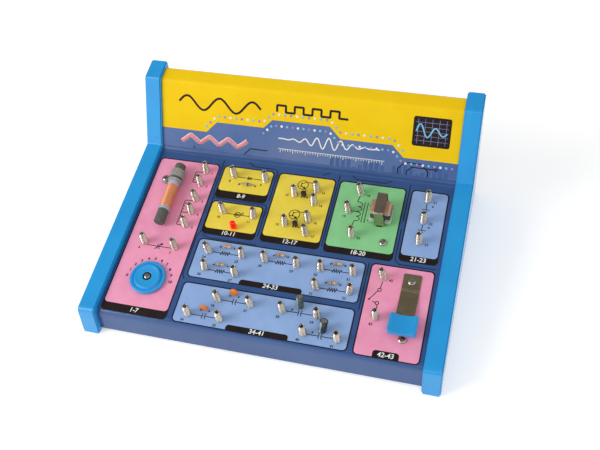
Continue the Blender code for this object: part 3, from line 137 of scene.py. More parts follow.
# %% One recipe for clouded, grained surfaces
def clouded(name, dark, light, gloss, cloud=20.0, grain=0.4, depth=0.004, metal=0.0, coat=0.0):
    """Two tones mixed over `cloud` mm, roughness between the two `gloss` values, grain bump."""
    made = bpy.data.materials.new(name)
    made.use_nodes = True
    tree = made.node_tree
    skin = tree.nodes["Principled BSDF"]
    place = add_node(tree, "ShaderNodeTexCoord", {}).outputs["Object"]
    wide = add_node(tree, "ShaderNodeTexNoise", {"Vector": place, "Scale": 1 / (cloud * MM), "Detail": 4.0})
    fine = add_node(tree, "ShaderNodeTexNoise", {"Vector": place, "Scale": 1 / (grain * MM), "Detail": 2.0})
    soft = add_node(tree, "ShaderNodeMapRange", {
        "Value": wide.outputs["Fac"], "From Min": 0.3, "From Max": 0.7,
    })
    tone = add_node(
        tree, "ShaderNodeMix", {0: soft.outputs["Result"], 6: linear(dark), 7: linear(light)},
        data_type="RGBA",
    )
    shine = add_node(
        tree, "ShaderNodeMapRange", {"Value": fine.outputs["Fac"], "To Min": gloss[0], "To Max": gloss[1]},
    )
    bump = add_node(
        tree, "ShaderNodeBump", {"Height": fine.outputs["Fac"], "Distance": depth * MM, "Strength": 0.6},
    )
    tree.links.new(tone.outputs[2], skin.inputs["Base Color"])
    tree.links.new(shine.outputs["Result"], skin.inputs["Roughness"])
    tree.links.new(bump.outputs["Normal"], skin.inputs["Normal"])
    skin.inputs["Metallic"].default_value = metal
    skin.inputs["Coat Weight"].default_value = coat
    made.diffuse_color = linear(light)
    return made


# Glossy ABS of the rails, knob and finger cap: saturated sky blue, soft wide highlights
SKY = clouded("sky_blue_abs", "0896DC", "0FA0E4", (0.30, 0.38), cloud=35, grain=0.5, depth=0.002, coat=0.6)
# Navy ABS of the console panel, moulded smooth, so that it mirrors the room faintly
NAVY = clouded("navy_abs", "2B4E86", "33578F", (0.20, 0.28), cloud=40, grain=0.5, depth=0.002, coat=0.4)
# Matt ABS of the underside, with a coarser spark-eroded grain
UNDER = clouded("underside_abs", "22405F", "284870", (0.5, 0.62), cloud=30, grain=0.7, depth=0.02)
for plastic in (SKY, NAVY):
    plastic.node_tree.nodes["Principled BSDF"].inputs["Coat Roughness"].default_value = 0.14
print("plastics:", SKY.name, NAVY.name, UNDER.name)

# %% [markdown]
# The coloured fields are silk-screen print on the deck. Screen ink dries satin, with a
# mottle of a few millimetres. Black and white inks are the same, only darker and lighter.

# %% Printing inks
PINK = clouded("pink_ink", "EE93B6", "F4A0C0", (0.40, 0.52), cloud=12, grain=0.3)
YELLOW = clouded("yellow_ink", "ECD23E", "F1DA4C", (0.40, 0.52), cloud=12, grain=0.3)
GREEN = clouded("green_ink", "7FC886", "8BD192", (0.40, 0.52), cloud=12, grain=0.3)
PALE_BLUE = clouded("pale_blue_ink", "89A9DC", "94B2E2", (0.40, 0.52), cloud=12, grain=0.3)
BLACK_INK = clouded("black_ink", "1D1615", "271E1C", (0.4, 0.5), cloud=8, grain=0.3)
WHITE_INK = clouded("white_ink", "EDEDE8", "F7F7F2", (0.4, 0.5), cloud=8, grain=0.3)
MAROON_INK = clouded("maroon_ink", "4C1B2A", "5A2434", (0.4, 0.5), cloud=8, grain=0.3)
GOLDEN = clouded("golden_ink", "EFC400", "F5CE06", (0.30, 0.42), cloud=25, grain=0.3)
AQUA_INK = clouded("aqua_ink", "6FBFE0", "86CCE8", (0.4, 0.5), cloud=8, grain=0.3)
VIOLET_INK = clouded("violet_ink", "8C86C4", "A39DD2", (0.4, 0.5), cloud=8, grain=0.3)
ROSE_INK = clouded("rose_ink", "E8788C", "F08E9E", (0.4, 0.5), cloud=8, grain=0.3)
MUTED_BLUE = clouded("muted_blue_ink", "3F629C", "6679A6", (0.3, 0.4), cloud=90, grain=0.4)
BAR_BLUE = clouded("deep_blue_ink", "365A96", "40649E", (0.3, 0.4), cloud=20, grain=0.4)
for ink in (BLACK_INK, MAROON_INK, GOLDEN):
    ink.node_tree.nodes["Principled BSDF"].inputs["Specular IOR Level"].default_value = 0.2
print("inks for nine fields, their lines and the header")

# %% [markdown]
# Bare metals keep the default IOR. Nickel plate is warm and bright, rolled spring leaf is
# browner and duller because it was blackened by heat, tinned wire is greyer than nickel.

# %% Metals
NICKEL = clouded(
    "nickel_plated_wire", "CFC6B8", "DDD5C8", (0.16, 0.22), cloud=9, grain=1.5, depth=0.001, metal=1.0,
)
ZINC = clouded(
    "zinc_plated_steel", "ABA59A", "C2BCB0", (0.16, 0.26), cloud=3, grain=0.6, depth=0.001, metal=1.0,
)
TINNED = clouded("tinned_copper_wire", "B8B4AC", "CBC8C0", (0.25, 0.4), cloud=2, grain=0.2, metal=1.0)
LEAF = clouded("blued_spring_leaf", "A8977A", "B8A789", (0.28, 0.4), cloud=6, grain=0.25, metal=1.0)
STRAP_STEEL = clouded(
    "tin_plated_strap", "B5A290", "C5B4A2", (0.10, 0.18), cloud=5, grain=0.8, depth=0.001, metal=1.0,
)
BRASS = clouded("turned_brass", "B08A45", "C79F58", (0.22, 0.34), cloud=3, grain=0.2, metal=1.0)
COPPER = clouded(
    "enamelled_copper_wire", "EA9C6C", "F4AA7C", (0.3, 0.38), cloud=14, grain=1.0, depth=0.001, metal=0.35,
)
LAMINATION = clouded(
    "varnished_laminations", "3A3634", "4A4644", (0.4, 0.55), cloud=4, grain=0.35, depth=0.03, metal=0.6,
)
print("eight metals")

# %% [markdown]
# The small components bring a dozen more surfaces: sintered ferrite, rubbery caps, nylon,
# lacquered resistors, epoxy, glass and shrunk sleeves. The same recipe covers them, with
# tones and grain from the real materials.

# %% Component surfaces
FERRITE = clouded("sintered_ferrite", "3D3F3C", "4A4C49", (0.6, 0.75), cloud=4, grain=0.4, depth=0.02)
RUBBER = clouded("grey_rubber_cap", "4F514B", "62645D", (0.55, 0.7), cloud=2.5, grain=0.5, depth=0.03)
NYLON = clouded("nylon_former", "A3A9BE", "B2B8CB", (0.4, 0.5), cloud=5, grain=0.5)
CLIP = clouded("grey_nylon_clip", "9A9894", "B2B0AB", (0.35, 0.48), cloud=4, grain=0.5, depth=0.004)
CLIP_DARK = clouded("shaded_clip_slot", "4B4844", "5A5753", (0.5, 0.6), cloud=4, grain=0.4)
TAPE = clouded("coil_tape", "C49A80", "D6AE93", (0.35, 0.5), cloud=4, grain=0.5, depth=0.01)
TAPE_EDGE = clouded("folded_tape_end", "A07860", "B58C72", (0.4, 0.55), cloud=3, grain=0.5, depth=0.02)
# Dark teal for the lower part of the coil block
LOWER_COIL_TEAL = clouded("teal_bobbin_nylon", "1D4347", "28565A", (0.35, 0.5), cloud=4, grain=0.5)
CHEEK = clouded("pale_bobbin_cheek", "A9C29E", "BDD2B2", (0.4, 0.55), cloud=4, grain=0.5)
LACQUER = clouded("resistor_lacquer", "DDB182", "EAC498", (0.3, 0.42), cloud=1.5, grain=0.3)
EPOXY = clouded("transistor_epoxy", "1C1B1D", "29282A", (0.4, 0.55), cloud=2, grain=0.3, depth=0.01)
DIPPED = clouded("dipped_ceramic", "DE7426", "EE8C3C", (0.45, 0.6), cloud=1.5, grain=0.4, depth=0.02)
SLEEVE = clouded("dark_shrunk_sleeve", "151C28", "202A38", (0.22, 0.34), cloud=3, grain=0.4)
TEAL_SLEEVE = clouded("grey_shrunk_sleeve", "3F4B4A", "55625F", (0.22, 0.34), cloud=3, grain=0.4)
# Near black painted shade for the knob's screw well
WELL_SHADE = clouded("black_fibre_washer", "1A1513", "2A2320", (0.5, 0.6), cloud=2, grain=0.4)
STRIPE = clouded("sleeve_stripe", "8C9CA0", "A5B4B6", (0.22, 0.34), cloud=3, grain=0.4)
CAN_TOP = clouded("can_aluminium", "A4A6A6", "BCBEBE", (0.3, 0.42), cloud=2, grain=0.3, metal=0.9)
CREAM = clouded("capacitor_moulding", "D8D3C6", "E4DFD3", (0.45, 0.55), cloud=5, grain=0.4)
JACKET = clouded("cell_jacket", "3B6B54", "47795F", (0.25, 0.35), cloud=8, grain=0.4)
BANDS = {
    name: clouded(f"{name}_band", code, code, (0.3, 0.42), cloud=1, grain=0.3)
    for name, code in {
        "brown": "5A2E16", "black": "1A1818", "orange": "D9601C", "red": "B4231C", "yellow": "D8B31E",
        "gold": "B08A3C", "violet": "5B3A78", "green": "2F6B3A",
    }.items()
}
print(len(BANDS), "band colours")

# %% [markdown]
# Two parts let light through: the red lamp and the diode's glass. Principled transmission
# with the IOR of epoxy and of glass does it. The red stays strong, because the dye fills
# the whole body. A little emission paints a glow into it, and the flange gets a brighter
# orange red that is painted glow as well.

# %% Clear bodies
# Red epoxy of the lamp with a painted glow, and a brighter orange red flange that is painted glow
LAMP = clouded("red_tinted_epoxy", "EE0808", "F81410", (0.08, 0.14), cloud=4, grain=1.0, depth=0.001)
LAMP_FOOT_GLOW = clouded("red_epoxy_flange", "FF2A0C", "FF3C14", (0.1, 0.16), cloud=4, grain=1.0, depth=0.001)
for part, share, glow_colour in ((LAMP, 0.16, "F01010"), (LAMP_FOOT_GLOW, 0.1, "FF3A10")):
    part_skin = part.node_tree.nodes["Principled BSDF"]
    part_skin.inputs["Emission Color"].default_value = linear(glow_colour)
    part_skin.inputs["Emission Strength"].default_value = 0.3
    part_skin.inputs["IOR"].default_value = 1.55
    part_skin.inputs["Transmission Weight"].default_value = share
BEAD = clouded("diode_glass", "D9D6C4", "E6E3D2", (0.05, 0.1), cloud=2, grain=0.4, depth=0.001)
bead_skin = BEAD.node_tree.nodes["Principled BSDF"]
bead_skin.inputs["IOR"].default_value = 1.5
bead_skin.inputs["Transmission Weight"].default_value = 0.6
print("clear bodies:", LAMP.name, BEAD.name)

# %% [markdown]
# ## Working helpers
#
# Operators act on whatever is selected, and the freshly loaded frame leaves everything
# selected. So each piece starts from a clean selection. `pick` selects faces, edges or
# points by where they are, which is what a hand would do with the mouse.

# %% Selecting
def deselect():
    """Leave edit mode and select nothing."""
    if bpy.context.object and bpy.context.object.mode != "OBJECT":
        bpy.ops.object.mode_set(mode="OBJECT")
    bpy.ops.object.select_all(action="DESELECT")


def activate(piece):
    """Select this piece alone."""
    deselect()
    piece.select_set(True)
    bpy.context.view_layer.objects.active = piece


def pick(wanted, part="faces"):
    """In edit mode, select the faces, edges or verts whose middle passes the test."""
    bpy.ops.mesh.select_mode(type={"faces": "FACE", "edges": "EDGE", "verts": "VERT"}[part])
    bpy.ops.mesh.select_all(action="DESELECT")
    bm = bmesh.from_edit_mesh(bpy.context.object.data)
    for item in getattr(bm, part):
        corners = [item] if part == "verts" else item.verts
        middle = sum((corner.co for corner in corners), Vector()) / len(corners)
        item.select_set(bool(wanted(middle, item)))
    bm.select_flush_mode()
    bmesh.update_edit_mesh(bpy.context.object.data)


deselect()
print("nothing is selected:", not bpy.context.selected_objects)

# %% [markdown]
# A finished piece has its place in its mesh and its object at the origin, so that a pattern
# on Object coordinates keeps its scale and its place. `settle` does this last step for every
# piece: name, tilt, and the body that it rides on.

# %% Finishing a piece
def shade(piece, degrees=35):
    """Smooth the curves and keep real edges crisp."""
    activate(piece)
    bpy.ops.object.shade_smooth_by_angle(angle=math.radians(degrees))


def apply(piece, kind, **settings):
    """Add one modifier and apply it at once."""
    activate(piece)
    step = piece.modifiers.new(kind.lower(), kind)
    for name, value in settings.items():
        setattr(step, name, value)
    bpy.ops.object.modifier_apply(modifier=step.name)


def joined(pieces):
    """Join pieces into the first; each brings its own surfaces."""
    deselect()
    for part in pieces:
        part.select_set(True)
    bpy.context.view_layer.objects.active = pieces[0]
    bpy.ops.object.join()
    return pieces[0]


def painted(piece, surface):
    """Give a raw piece its only surface."""
    piece.data.materials.clear()
    piece.data.materials.append(surface)
    return piece


def settle(piece, name, board=DECK, body="console", stands_for=()):
    """Lay a drawn piece on its board, name it and let it ride on its body."""
    deselect()
    bpy.context.view_layer.update()
    piece.data.transform(board @ piece.matrix_world)
    piece.matrix_world = Matrix.Identity(4)
    piece.name = piece.data.name = name
    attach(piece, body)
    if stands_for:
        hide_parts(*stands_for)
    return piece


print("finishing helpers are ready")

# %% [markdown]
# ## The big mouldings
#
# The rails, the bent console panel and the base cover already have their true shape in CAD.
# A copy is enough: its loose triangles are welded, curves are shaded smooth, and weighted
# normals keep the large flats flat while the 1 mm edge roundings catch the light.

# %% Shells from the CAD mouldings
def shell_of(node, name, surface, body="console", degrees=50):
    """A welded and smoothed copy of a CAD node, standing for it."""
    deselect()
    copy = bpy.data.objects.new(name, frame["nodes"][node].data.copy())
    bpy.context.scene.collection.objects.link(copy)
    activate(copy)
    bpy.ops.mesh.customdata_custom_splitnormals_clear()
    bpy.ops.object.mode_set(mode="EDIT")
    bpy.ops.mesh.select_all(action="SELECT")
    bpy.ops.mesh.remove_doubles(threshold=0.002 * MM)
    shade(copy, degrees)
    apply(copy, "WEIGHTED_NORMAL", keep_sharp=True)
    painted(copy, surface)
    return settle(copy, name, UPRIGHT, body, [node])


for node, name, surface, slot, body in (
    ("console_panel", "console_shell", NAVY, "navy_panel", "console"),
    ("left_side_rail", "left_rail_moulding", SKY, "sky_blue_plastic", "console"),
    ("right_side_rail", "right_rail_moulding", SKY, "sky_blue_plastic", "console"),
    ("base_cover", "base_moulding", UNDER, "base_plastic", "console"),
    ("battery_door", "door_moulding", UNDER, "base_plastic", "door"),
    ("tuning_capacitor_case", "tuning_capacitor_moulding", CREAM, "capacitor_case", "console"),
    ("transformer_core", "lamination_stack", LAMINATION, "core_steel", "console"),
    ("battery_cell_1", "cell_front", JACKET, "cell_jacket", "console"),
    ("battery_cell_2", "cell_back", JACKET, "cell_jacket", "console"),
    ("battery_link_strip", "cell_link_strip", ZINC, "steel", "console"),
    ("battery_contact_front", "cell_contact_front", ZINC, "steel", "console"),
    ("battery_contact_back", "cell_contact_back", ZINC, "steel", "console"),
    ("tuning_shaft", "brass_tuning_shaft", BRASS, "brass", "dial"),
    ("base_screw_left", "base_screw_left_plated", ZINC, "steel", "console"),
    ("base_screw_right", "base_screw_right_plated", ZINC, "steel", "console"),
    ("ferrite_rod", "sintered_rod", FERRITE, "ferrite", "console"),
):
    made = shell_of(node, name, surface, body)

# %% [markdown]
# The two cells are tin cans in a printed jacket. Their end faces and the nub are bare steel,
# so the faces that look along x get a second surface.

# %% Bare ends on the cells
for name in ("cell_front", "cell_back"):
    cell = bpy.data.objects[name]
    cell.data.materials.append(ZINC)
    low = min(corner.co.x for corner in cell.data.vertices)
    high = max(corner.co.x for corner in cell.data.vertices)
    bare = [
        face for face in cell.data.polygons
        if abs(face.normal.x) > 0.5 or min(face.center.x - low, high - face.center.x) < 1.5 * MM
    ]
    for face in bare:
        face.material_index = 1
    print(name, "has", len(bare), "bare faces")

# %% [markdown]
# ## Places on the deck
#
# Each spring has a number, and every small component sits between its springs. These are the
# same places as in the part, in millimetres from the middle and from the front edge.

# %% Tables
TERMINALS = {
    1: (-86.5, 151.5), 2: (-87.3, 137.2), 3: (-86.3, 120.6), 4: (-86.2, 106.7), 5: (-87.0, 92.9),
    6: (-117.5, 70.7), 7: (-89.0, 69.5), 8: (-59.0, 150.7), 9: (-30.0, 150.4), 10: (-58.0, 111.9),
    11: (-30.5, 111.0), 12: (-0.4, 139.5), 13: (17.9, 146.5), 14: (18.4, 133.1), 15: (-1.1, 108.3),
    16: (17.9, 115.1), 17: (18.6, 101.6), 18: (57.0, 150.2), 19: (49.7, 130.5), 20: (57.1, 106.6),
    21: (114.4, 151.8), 22: (113.8, 130.2), 23: (113.6, 109.5), 24: (-58.5, 71.0), 25: (-29.6, 71.2),
    26: (-57.5, 54.5), 27: (-30.0, 53.0), 28: (-8.9, 70.8), 29: (18.3, 70.2), 30: (38.9, 70.7),
    31: (66.3, 71.0), 32: (39.0, 53.0), 33: (66.4, 53.6), 34: (-58.6, 11.5), 35: (-31.0, 11.2),
    36: (-37.3, 28.2), 37: (-9.6, 28.2), 38: (17.6, 28.1), 39: (45.7, 28.1), 40: (38.2, 11.7),
    41: (65.9, 11.1), 42: (91.3, 71.6), 43: (91.5, 35.3),
}
RESISTORS = {
    "resistor_24_25": (24, 25, (-43.5, 77.2), ("orange", "orange", "red", "gold")),
    "resistor_26_27": (26, 27, (-44.3, 59.5), ("yellow", "violet", "brown", "gold")),
    "resistor_28_29": (28, 29, (3.7, 77.0), ("brown", "black", "orange", "gold")),
    "resistor_30_31": (30, 31, (52.5, 77.1), ("brown", "black", "yellow", "gold")),
    "resistor_32_33": (32, 33, (52.2, 59.0), ("green", "brown", "orange", "gold")),
}
DIODE = (8, 9, (-44.9, 142.5))
LED = (10, 11, (-43.8, 97.5))
TRANSISTORS = {"transistor_12_14": (12, 13, 14, (8.8, 138.4)), "transistor_15_17": (15, 16, 17, (8.8, 107.3))}
DISCS = {
    "disc_capacitor_34_35": (34, 35, (-45.0, 16.9), 2),
    "disc_capacitor_36_37": (36, 37, (-24.7, 33.5), 18),
}
CANS = {
    "can_capacitor_38_39": (38, 39, (31.0, 32.8), 3.0, 22, 0, TEAL_SLEEVE),
    "can_capacitor_40_41": (40, 41, (52.9, 15.6), 3.3, 22, 9, SLEEVE),
}
DIAL_AT = (-101.8, 36.7)
CORE_AT = (78.4, 130.2)
POST_AT = (84.5, 104.0)
EAR_AT = (-119.6, 136.6)
KEY_X = 114.3
KEY_BEND = 60.7
KEY_SCREW_AT = (114.3, 71.0)
KEY_CONTACT_AT = (115.2, 20.4)
print(len(TERMINALS), "springs,", len(RESISTORS), "resistors")

# %% [markdown]
# ## The printed deck
#
# On the real console each group of springs stands in a coloured field with a black outline
# and a black label bar. Each layer is modelled as the thin sheet of ink that it is, a few
# hundredths of a millimetre thick, one above the other. That keeps every edge razor sharp at
# any distance, which a painted texture can't do. A plane is added, its corners are rounded
# with a vertex bevel, and it is extruded.

# %% Ink sheets
INK = 0.05
LEVELS = {"frame": 0.01, "field": 0.06, "tab": 0.11, "line": 0.16}


def sheet(low, high, level, corner, surface, rounded=lambda middle: True):
    """A thin rounded rectangle of ink between two corners of the drawing board."""
    deselect()
    middle = mm((low[0] + high[0]) / 2, (low[1] + high[1]) / 2, level)
    bpy.ops.mesh.primitive_plane_add(size=1, location=middle)
    made = bpy.context.object
    made.scale = mm(high[0] - low[0], high[1] - low[1], 1 / MM)
    bpy.ops.object.transform_apply(location=True, rotation=True, scale=True)
    bpy.ops.object.mode_set(mode="EDIT")
    pick(lambda place, vert: rounded(place / MM), "verts")
    bpy.ops.mesh.bevel(offset=corner * MM, segments=8, affect="VERTICES", clamp_overlap=True)
    bpy.ops.mesh.select_all(action="SELECT")
    bpy.ops.mesh.extrude_region_move(TRANSFORM_OT_translate={"value": mm(0, 0, INK)})
    bpy.ops.mesh.select_all(action="SELECT")
    bpy.ops.mesh.normals_make_consistent(inside=False)
    deselect()
    return painted(made, surface)


trial = sheet((0, 0), (10, 10), 0, 2, PINK)
print("a sheet has", len(trial.data.vertices), "points")
bpy.data.objects.remove(trial)

# %% [markdown]
# Springs, leads and screws go through the deck, so the ink has holes in the same places. One
# cutter with a peg at each place is made first and used on every sheet by a Boolean.

# %% The hole cutter
def feet_of(centre, span):
    """The two places where a component's leads enter the deck."""
    return [(centre[0] + side * span / 2, centre[1]) for side in (-1, 1)]


lead_feet = feet_of(DIODE[2], 15.0) + feet_of(LED[2], 2.54)
for entry in RESISTORS.values():
    lead_feet += feet_of(entry[2], 12.2)
for entry in TRANSISTORS.values():
    lead_feet += feet_of(entry[3], 5.0) + [entry[3]]
for entry in DISCS.values():
    lead_feet += feet_of(entry[2], 7.4)
for entry in CANS.values():
    lead_feet += feet_of(entry[2], 2.6)
holes = [(spot, 1.2) for spot in TERMINALS.values()] + [(spot, 0.85) for spot in lead_feet]
holes += [(DIAL_AT, 3.8), (POST_AT, 1.9), (EAR_AT, 1.9), (KEY_SCREW_AT, 1.9), (KEY_CONTACT_AT, 1.9)]
pegs = []
for (x, y), radius in holes:
    deselect()
    bpy.ops.mesh.primitive_cylinder_add(vertices=16, radius=radius * MM, depth=2 * MM, location=mm(x, y, 0))
    pegs.append(bpy.context.object)
for side in (-1, 1):
    bpy.ops.mesh.primitive_cube_add(size=MM, location=mm(CORE_AT[0], CORE_AT[1] + side * 10.65, 0))
    bpy.context.object.scale = (4.8, 1.4, 2.0)
    pegs.append(bpy.context.object)
cutter = joined(pegs)
bpy.ops.object.transform_apply(location=True, rotation=True, scale=True)
print("the cutter has", len(holes) + 2, "pegs")

# %% [markdown]
# The label bars hold plain number ranges: they say which springs stand in the field. Text is
# written with Blender's own font, thickened a little with the offset setting, and turned
# into a mesh before it is placed.

# %% Lettering
def written(words, place, size, surface, level, slant=0.0, weight=0.0):
    """Plain figures printed at one place of the board, centred there."""
    deselect()
    bpy.ops.object.text_add(location=mm(*place, level))
    made = bpy.context.object
    made.data.body = words
    made.data.size = size * MM
    made.data.align_x, made.data.align_y = "CENTER", "CENTER"
    made.data.shear = slant
    made.data.offset = weight * MM
    made.data.extrude = INK / 4 * MM
    made.data.resolution_u = 3
    bpy.ops.object.convert(target="MESH")
    return painted(bpy.context.object, surface)


trial = written("10", (0, 0), 3, BLACK_INK, 0)
print("the figure 10 has", len(trial.data.polygons), "faces")
bpy.data.objects.remove(trial)

# %% [markdown]
# Nine fields follow from one table: corners, lowest edge of the black bar, ink, and the
# figures of the label. Two of the kinds differ. Most fields have a bar over their whole
# width. The long ones and the key have a small tab that rises into the field.

# %% Fields
FIELDS = {
    "radio": ((-132, 10), (-76, 160), 2.5, PINK, "1-7", None),
    "diode": ((-70, 134), (-24.5, 160), 126, YELLOW, "8-9", None),
    "lamp": ((-70, 94), (-24.5, 121.5), 87.7, YELLOW, "10-11", None),
    "transistor": ((-18, 94.7), (32, 160), 88.3, YELLOW, "12-17", None),
    "transformer": ((37.5, 94), (94, 160), 87.6, GREEN, "18-20", None),
    "battery": ((100.5, 95.7), (130.5, 160), 89.5, PALE_BLUE, "21-23", None),
    "resistor": ((-69.5, 45.5), (74.3, 82), 44.6, PALE_BLUE, "24-33", (-24.7, 28.7, 49.8)),
    "capacitor": ((-69.4, 3.7), (74.2, 39), 2.8, PALE_BLUE, "34-41", (-24.0, 27.7, 8.2)),
    "key": ((80.3, 3), (130.5, 83), 2.1, PINK, "42-43", (94.8, 115.4, 8.8)),
}
OUTLINE = 1.15
for name, (low, high, bar_low, ink, words, tab) in FIELDS.items():
    black = sheet(
        (low[0] - OUTLINE, bar_low), (high[0] + OUTLINE, high[1] + OUTLINE), LEVELS["frame"], 4.0, BLACK_INK,
    )
    colour = sheet(low, high, LEVELS["field"], 3.2, ink)
    layers = [black, colour]
    label = ((low[0] + high[0]) / 2, (low[1] + bar_low) / 2 + 0.1)
    if tab:
        layers.append(sheet(
            (tab[0], low[1] - OUTLINE / 2), (tab[1], tab[2]), LEVELS["tab"], 2.6, BLACK_INK,
            lambda place: place.y > low[1] + 1,
        ))
        label = ((tab[0] + tab[1]) / 2, (tab[2] + bar_low) / 2)
    for layer in layers:
        apply(layer, "BOOLEAN", object=cutter, operation="DIFFERENCE", solver="EXACT")
    layers.append(written(words, label, 5.6, WHITE_INK, LEVELS["line"] + 0.02, slant=0.1, weight=0.09))
    field = settle(joined(layers), f"{name}_field_print")
    print(field.name, len(field.data.polygons), "faces")

# %% [markdown]
# ## Circuit symbols
#
# The lines between the springs are the usual symbols of circuit diagrams. A symbol is only a
# set of thin strokes, so each is drawn as points. All strokes go into one curve, which a
# round bevel gives its width. A bevel thins out at a sharp corner, so `soft_path` rounds
# the corners first. Turned into a mesh and flattened to a tenth, the curve is ink.

# %% Stroke helpers
def bow(centre, radius, start, end, steps=10):
    """Points of an arc, angles in degrees, counted from the right and upwards."""
    angles = [math.radians(start + (end - start) * step / steps) for step in range(steps + 1)]
    return [(centre[0] + radius * math.cos(a), centre[1] + radius * math.sin(a)) for a in angles]


def coil(top, bottom, bumps, side, stretch=1.0):
    """A row of bumps between two points of one upright line."""
    line = []
    pitch = (top[1] - bottom[1]) / bumps
    for number in range(bumps):
        middle = (top[0], top[1] - pitch * (number + 0.5))
        line += bow(middle, pitch / 2, 90, 90 + side * 180, 10)
    return [(top[0] + (x - top[0]) * stretch, y) for x, y in line]


def soft_path(corners, radius, steps=5):
    """Route with its sharp corners rounded."""
    corners = [Vector(corner) for corner in corners]
    line = [corners[0]]
    for before, corner, after in zip(corners, corners[1:], corners[2:]):
        if (corner - before).angle(after - corner, 0.0) < math.radians(25):
            line.append(corner)
            continue
        reach = min(radius, (corner - before).length / 2, (after - corner).length / 2)
        start = corner + (before - corner).normalized() * reach
        end = corner + (after - corner).normalized() * reach
        for step in range(steps + 1):
            share = step / steps
            line.append(start.lerp(corner, share).lerp(corner.lerp(end, share), share))
    return line + [corners[-1]]


def strokes(name, lines, width, surface, level, board=DECK):
    """Lines of ink of one width, as one flat piece."""
    lines = [soft_path(line, width / 3, 4) for line in lines]
    drawn = bpy.data.curves.new(name, "CURVE")
    drawn.dimensions = "3D"
    drawn.bevel_depth = width / 2 * MM
    drawn.bevel_resolution = 1
    drawn.use_fill_caps = True
    for line in lines:
        run = drawn.splines.new("POLY")
        run.points.add(len(line) - 1)
        for point, (x, y) in zip(run.points, line):
            point.co = (*mm(x, y, 0), 1.0)
    deselect()
    made = bpy.data.objects.new(name, drawn)
    bpy.context.scene.collection.objects.link(made)
    activate(made)
    bpy.ops.object.convert(target="MESH")
    made = bpy.context.object
    made.scale.z = 0.1
    made.location.z = level * MM
    painted(made, surface)
    return settle(made, name, board)


print("a coil of three bumps has", len(coil((0, 9), (0, 0), 3, 1)), "points")

# %% [markdown]
# Each two-spring symbol lies just in front of its springs: a lead from the left spring, the
# symbol, and a lead to the right one. Resistors are a zigzag, capacitors two plates of which
# the right one is curved.

# %% Symbols of the small components
symbol_lines = []
for first, second, *_ in RESISTORS.values():
    (x0, y0), (x1, y1) = TERMINALS[first], TERMINALS[second]
    row = (y0 + y1) / 2 + 0.2
    middle = (x0 + x1) / 2
    zigzag = [(middle - 3.5 + 1.0 * n, row + (1.8 if n % 2 else -1.8)) for n in range(8)]
    symbol_lines.append([(x0 + 3.2, row), (middle - 4.0, row), *zigzag, (middle + 4.0, row), (x1 - 3.2, row)])
for first, second, *_ in [*DISCS.values(), *CANS.values()]:
    (x0, y0), (x1, y1) = TERMINALS[first], TERMINALS[second]
    row, middle = (y0 + y1) / 2 + 0.4, (x0 + x1) / 2
    symbol_lines += [[(x0 + 3.2, row), (middle - 1.0, row)], [(middle + 1.0, row), (x1 - 3.2, row)]]
    symbol_lines.append([(middle - 1.0, row + 2.6), (middle - 1.0, row - 2.6)])
    symbol_lines.append(bow((middle + 5.0, row), 4.0, 139, 221))
for first in (38, 40):
    x, y = TERMINALS[first][0] + 7.5, TERMINALS[first][1] + 2.4
    symbol_lines += [[(x - 0.8, y), (x + 0.8, y)], [(x, y - 0.8), (x, y + 0.8)]]
row = 150.2
symbol_lines += [[(-55.6, row), (-33.4, row)], [(-43.0, row + 1.6), (-43.0, row - 1.6)]]
symbol_lines.append([(-46.0, row + 1.5), (-43.2, row), (-46.0, row - 1.5), (-46.0, row + 1.5)])
row = 110.9
symbol_lines += [[(-54.6, row), (-33.9, row)], [(-43.6, row + 1.2), (-43.6, row - 1.2)]]
symbol_lines.append(bow((-44.6, row), 2.6, 0, 360, 24))
symbol_lines.append([(-46.0, row + 1.1), (-43.8, row), (-46.0, row - 1.1), (-46.0, row + 1.1)])
symbol_lines += [[(-41.8, row + 1.6), (-40.0, row + 3.0)], [(-41.2, row + 0.6), (-39.2, row + 2.2)]]
for left, back, *_ in TRANSISTORS.values():
    x, y = ring = (4.6, TERMINALS[back][1] + 4.4)
    symbol_lines += [
        bow(ring, 4.6, 0, 360, 32),
        [(x - 1.4, y + 2.6), (x - 1.4, y - 2.6)],
        [(TERMINALS[left][0] + 1.4, y - 1.5), (x - 1.4, y - 1.5)],
        [(x - 1.4, y + 1.0), (x + 2.6, y + 3.2), (x + 9.0, y + 3.2)],
        [(x - 1.4, y - 1.0), (x + 2.4, y - 3.4), (x + 4.4, y - 6.0)],
        [(x + 0.4, y - 3.2), (x + 2.4, y - 3.4), (x + 1.6, y - 1.6)],
    ]
strokes("component_symbols", symbol_lines, 0.68, BLACK_INK, LEVELS["line"])
print(len(symbol_lines), "strokes between the small components")

# %% [markdown]
# The larger symbols differ one by one: the antenna coils and the tuning capacitor at the
# left, the transformer with its core lines, the two cells, and the open switch of the key.

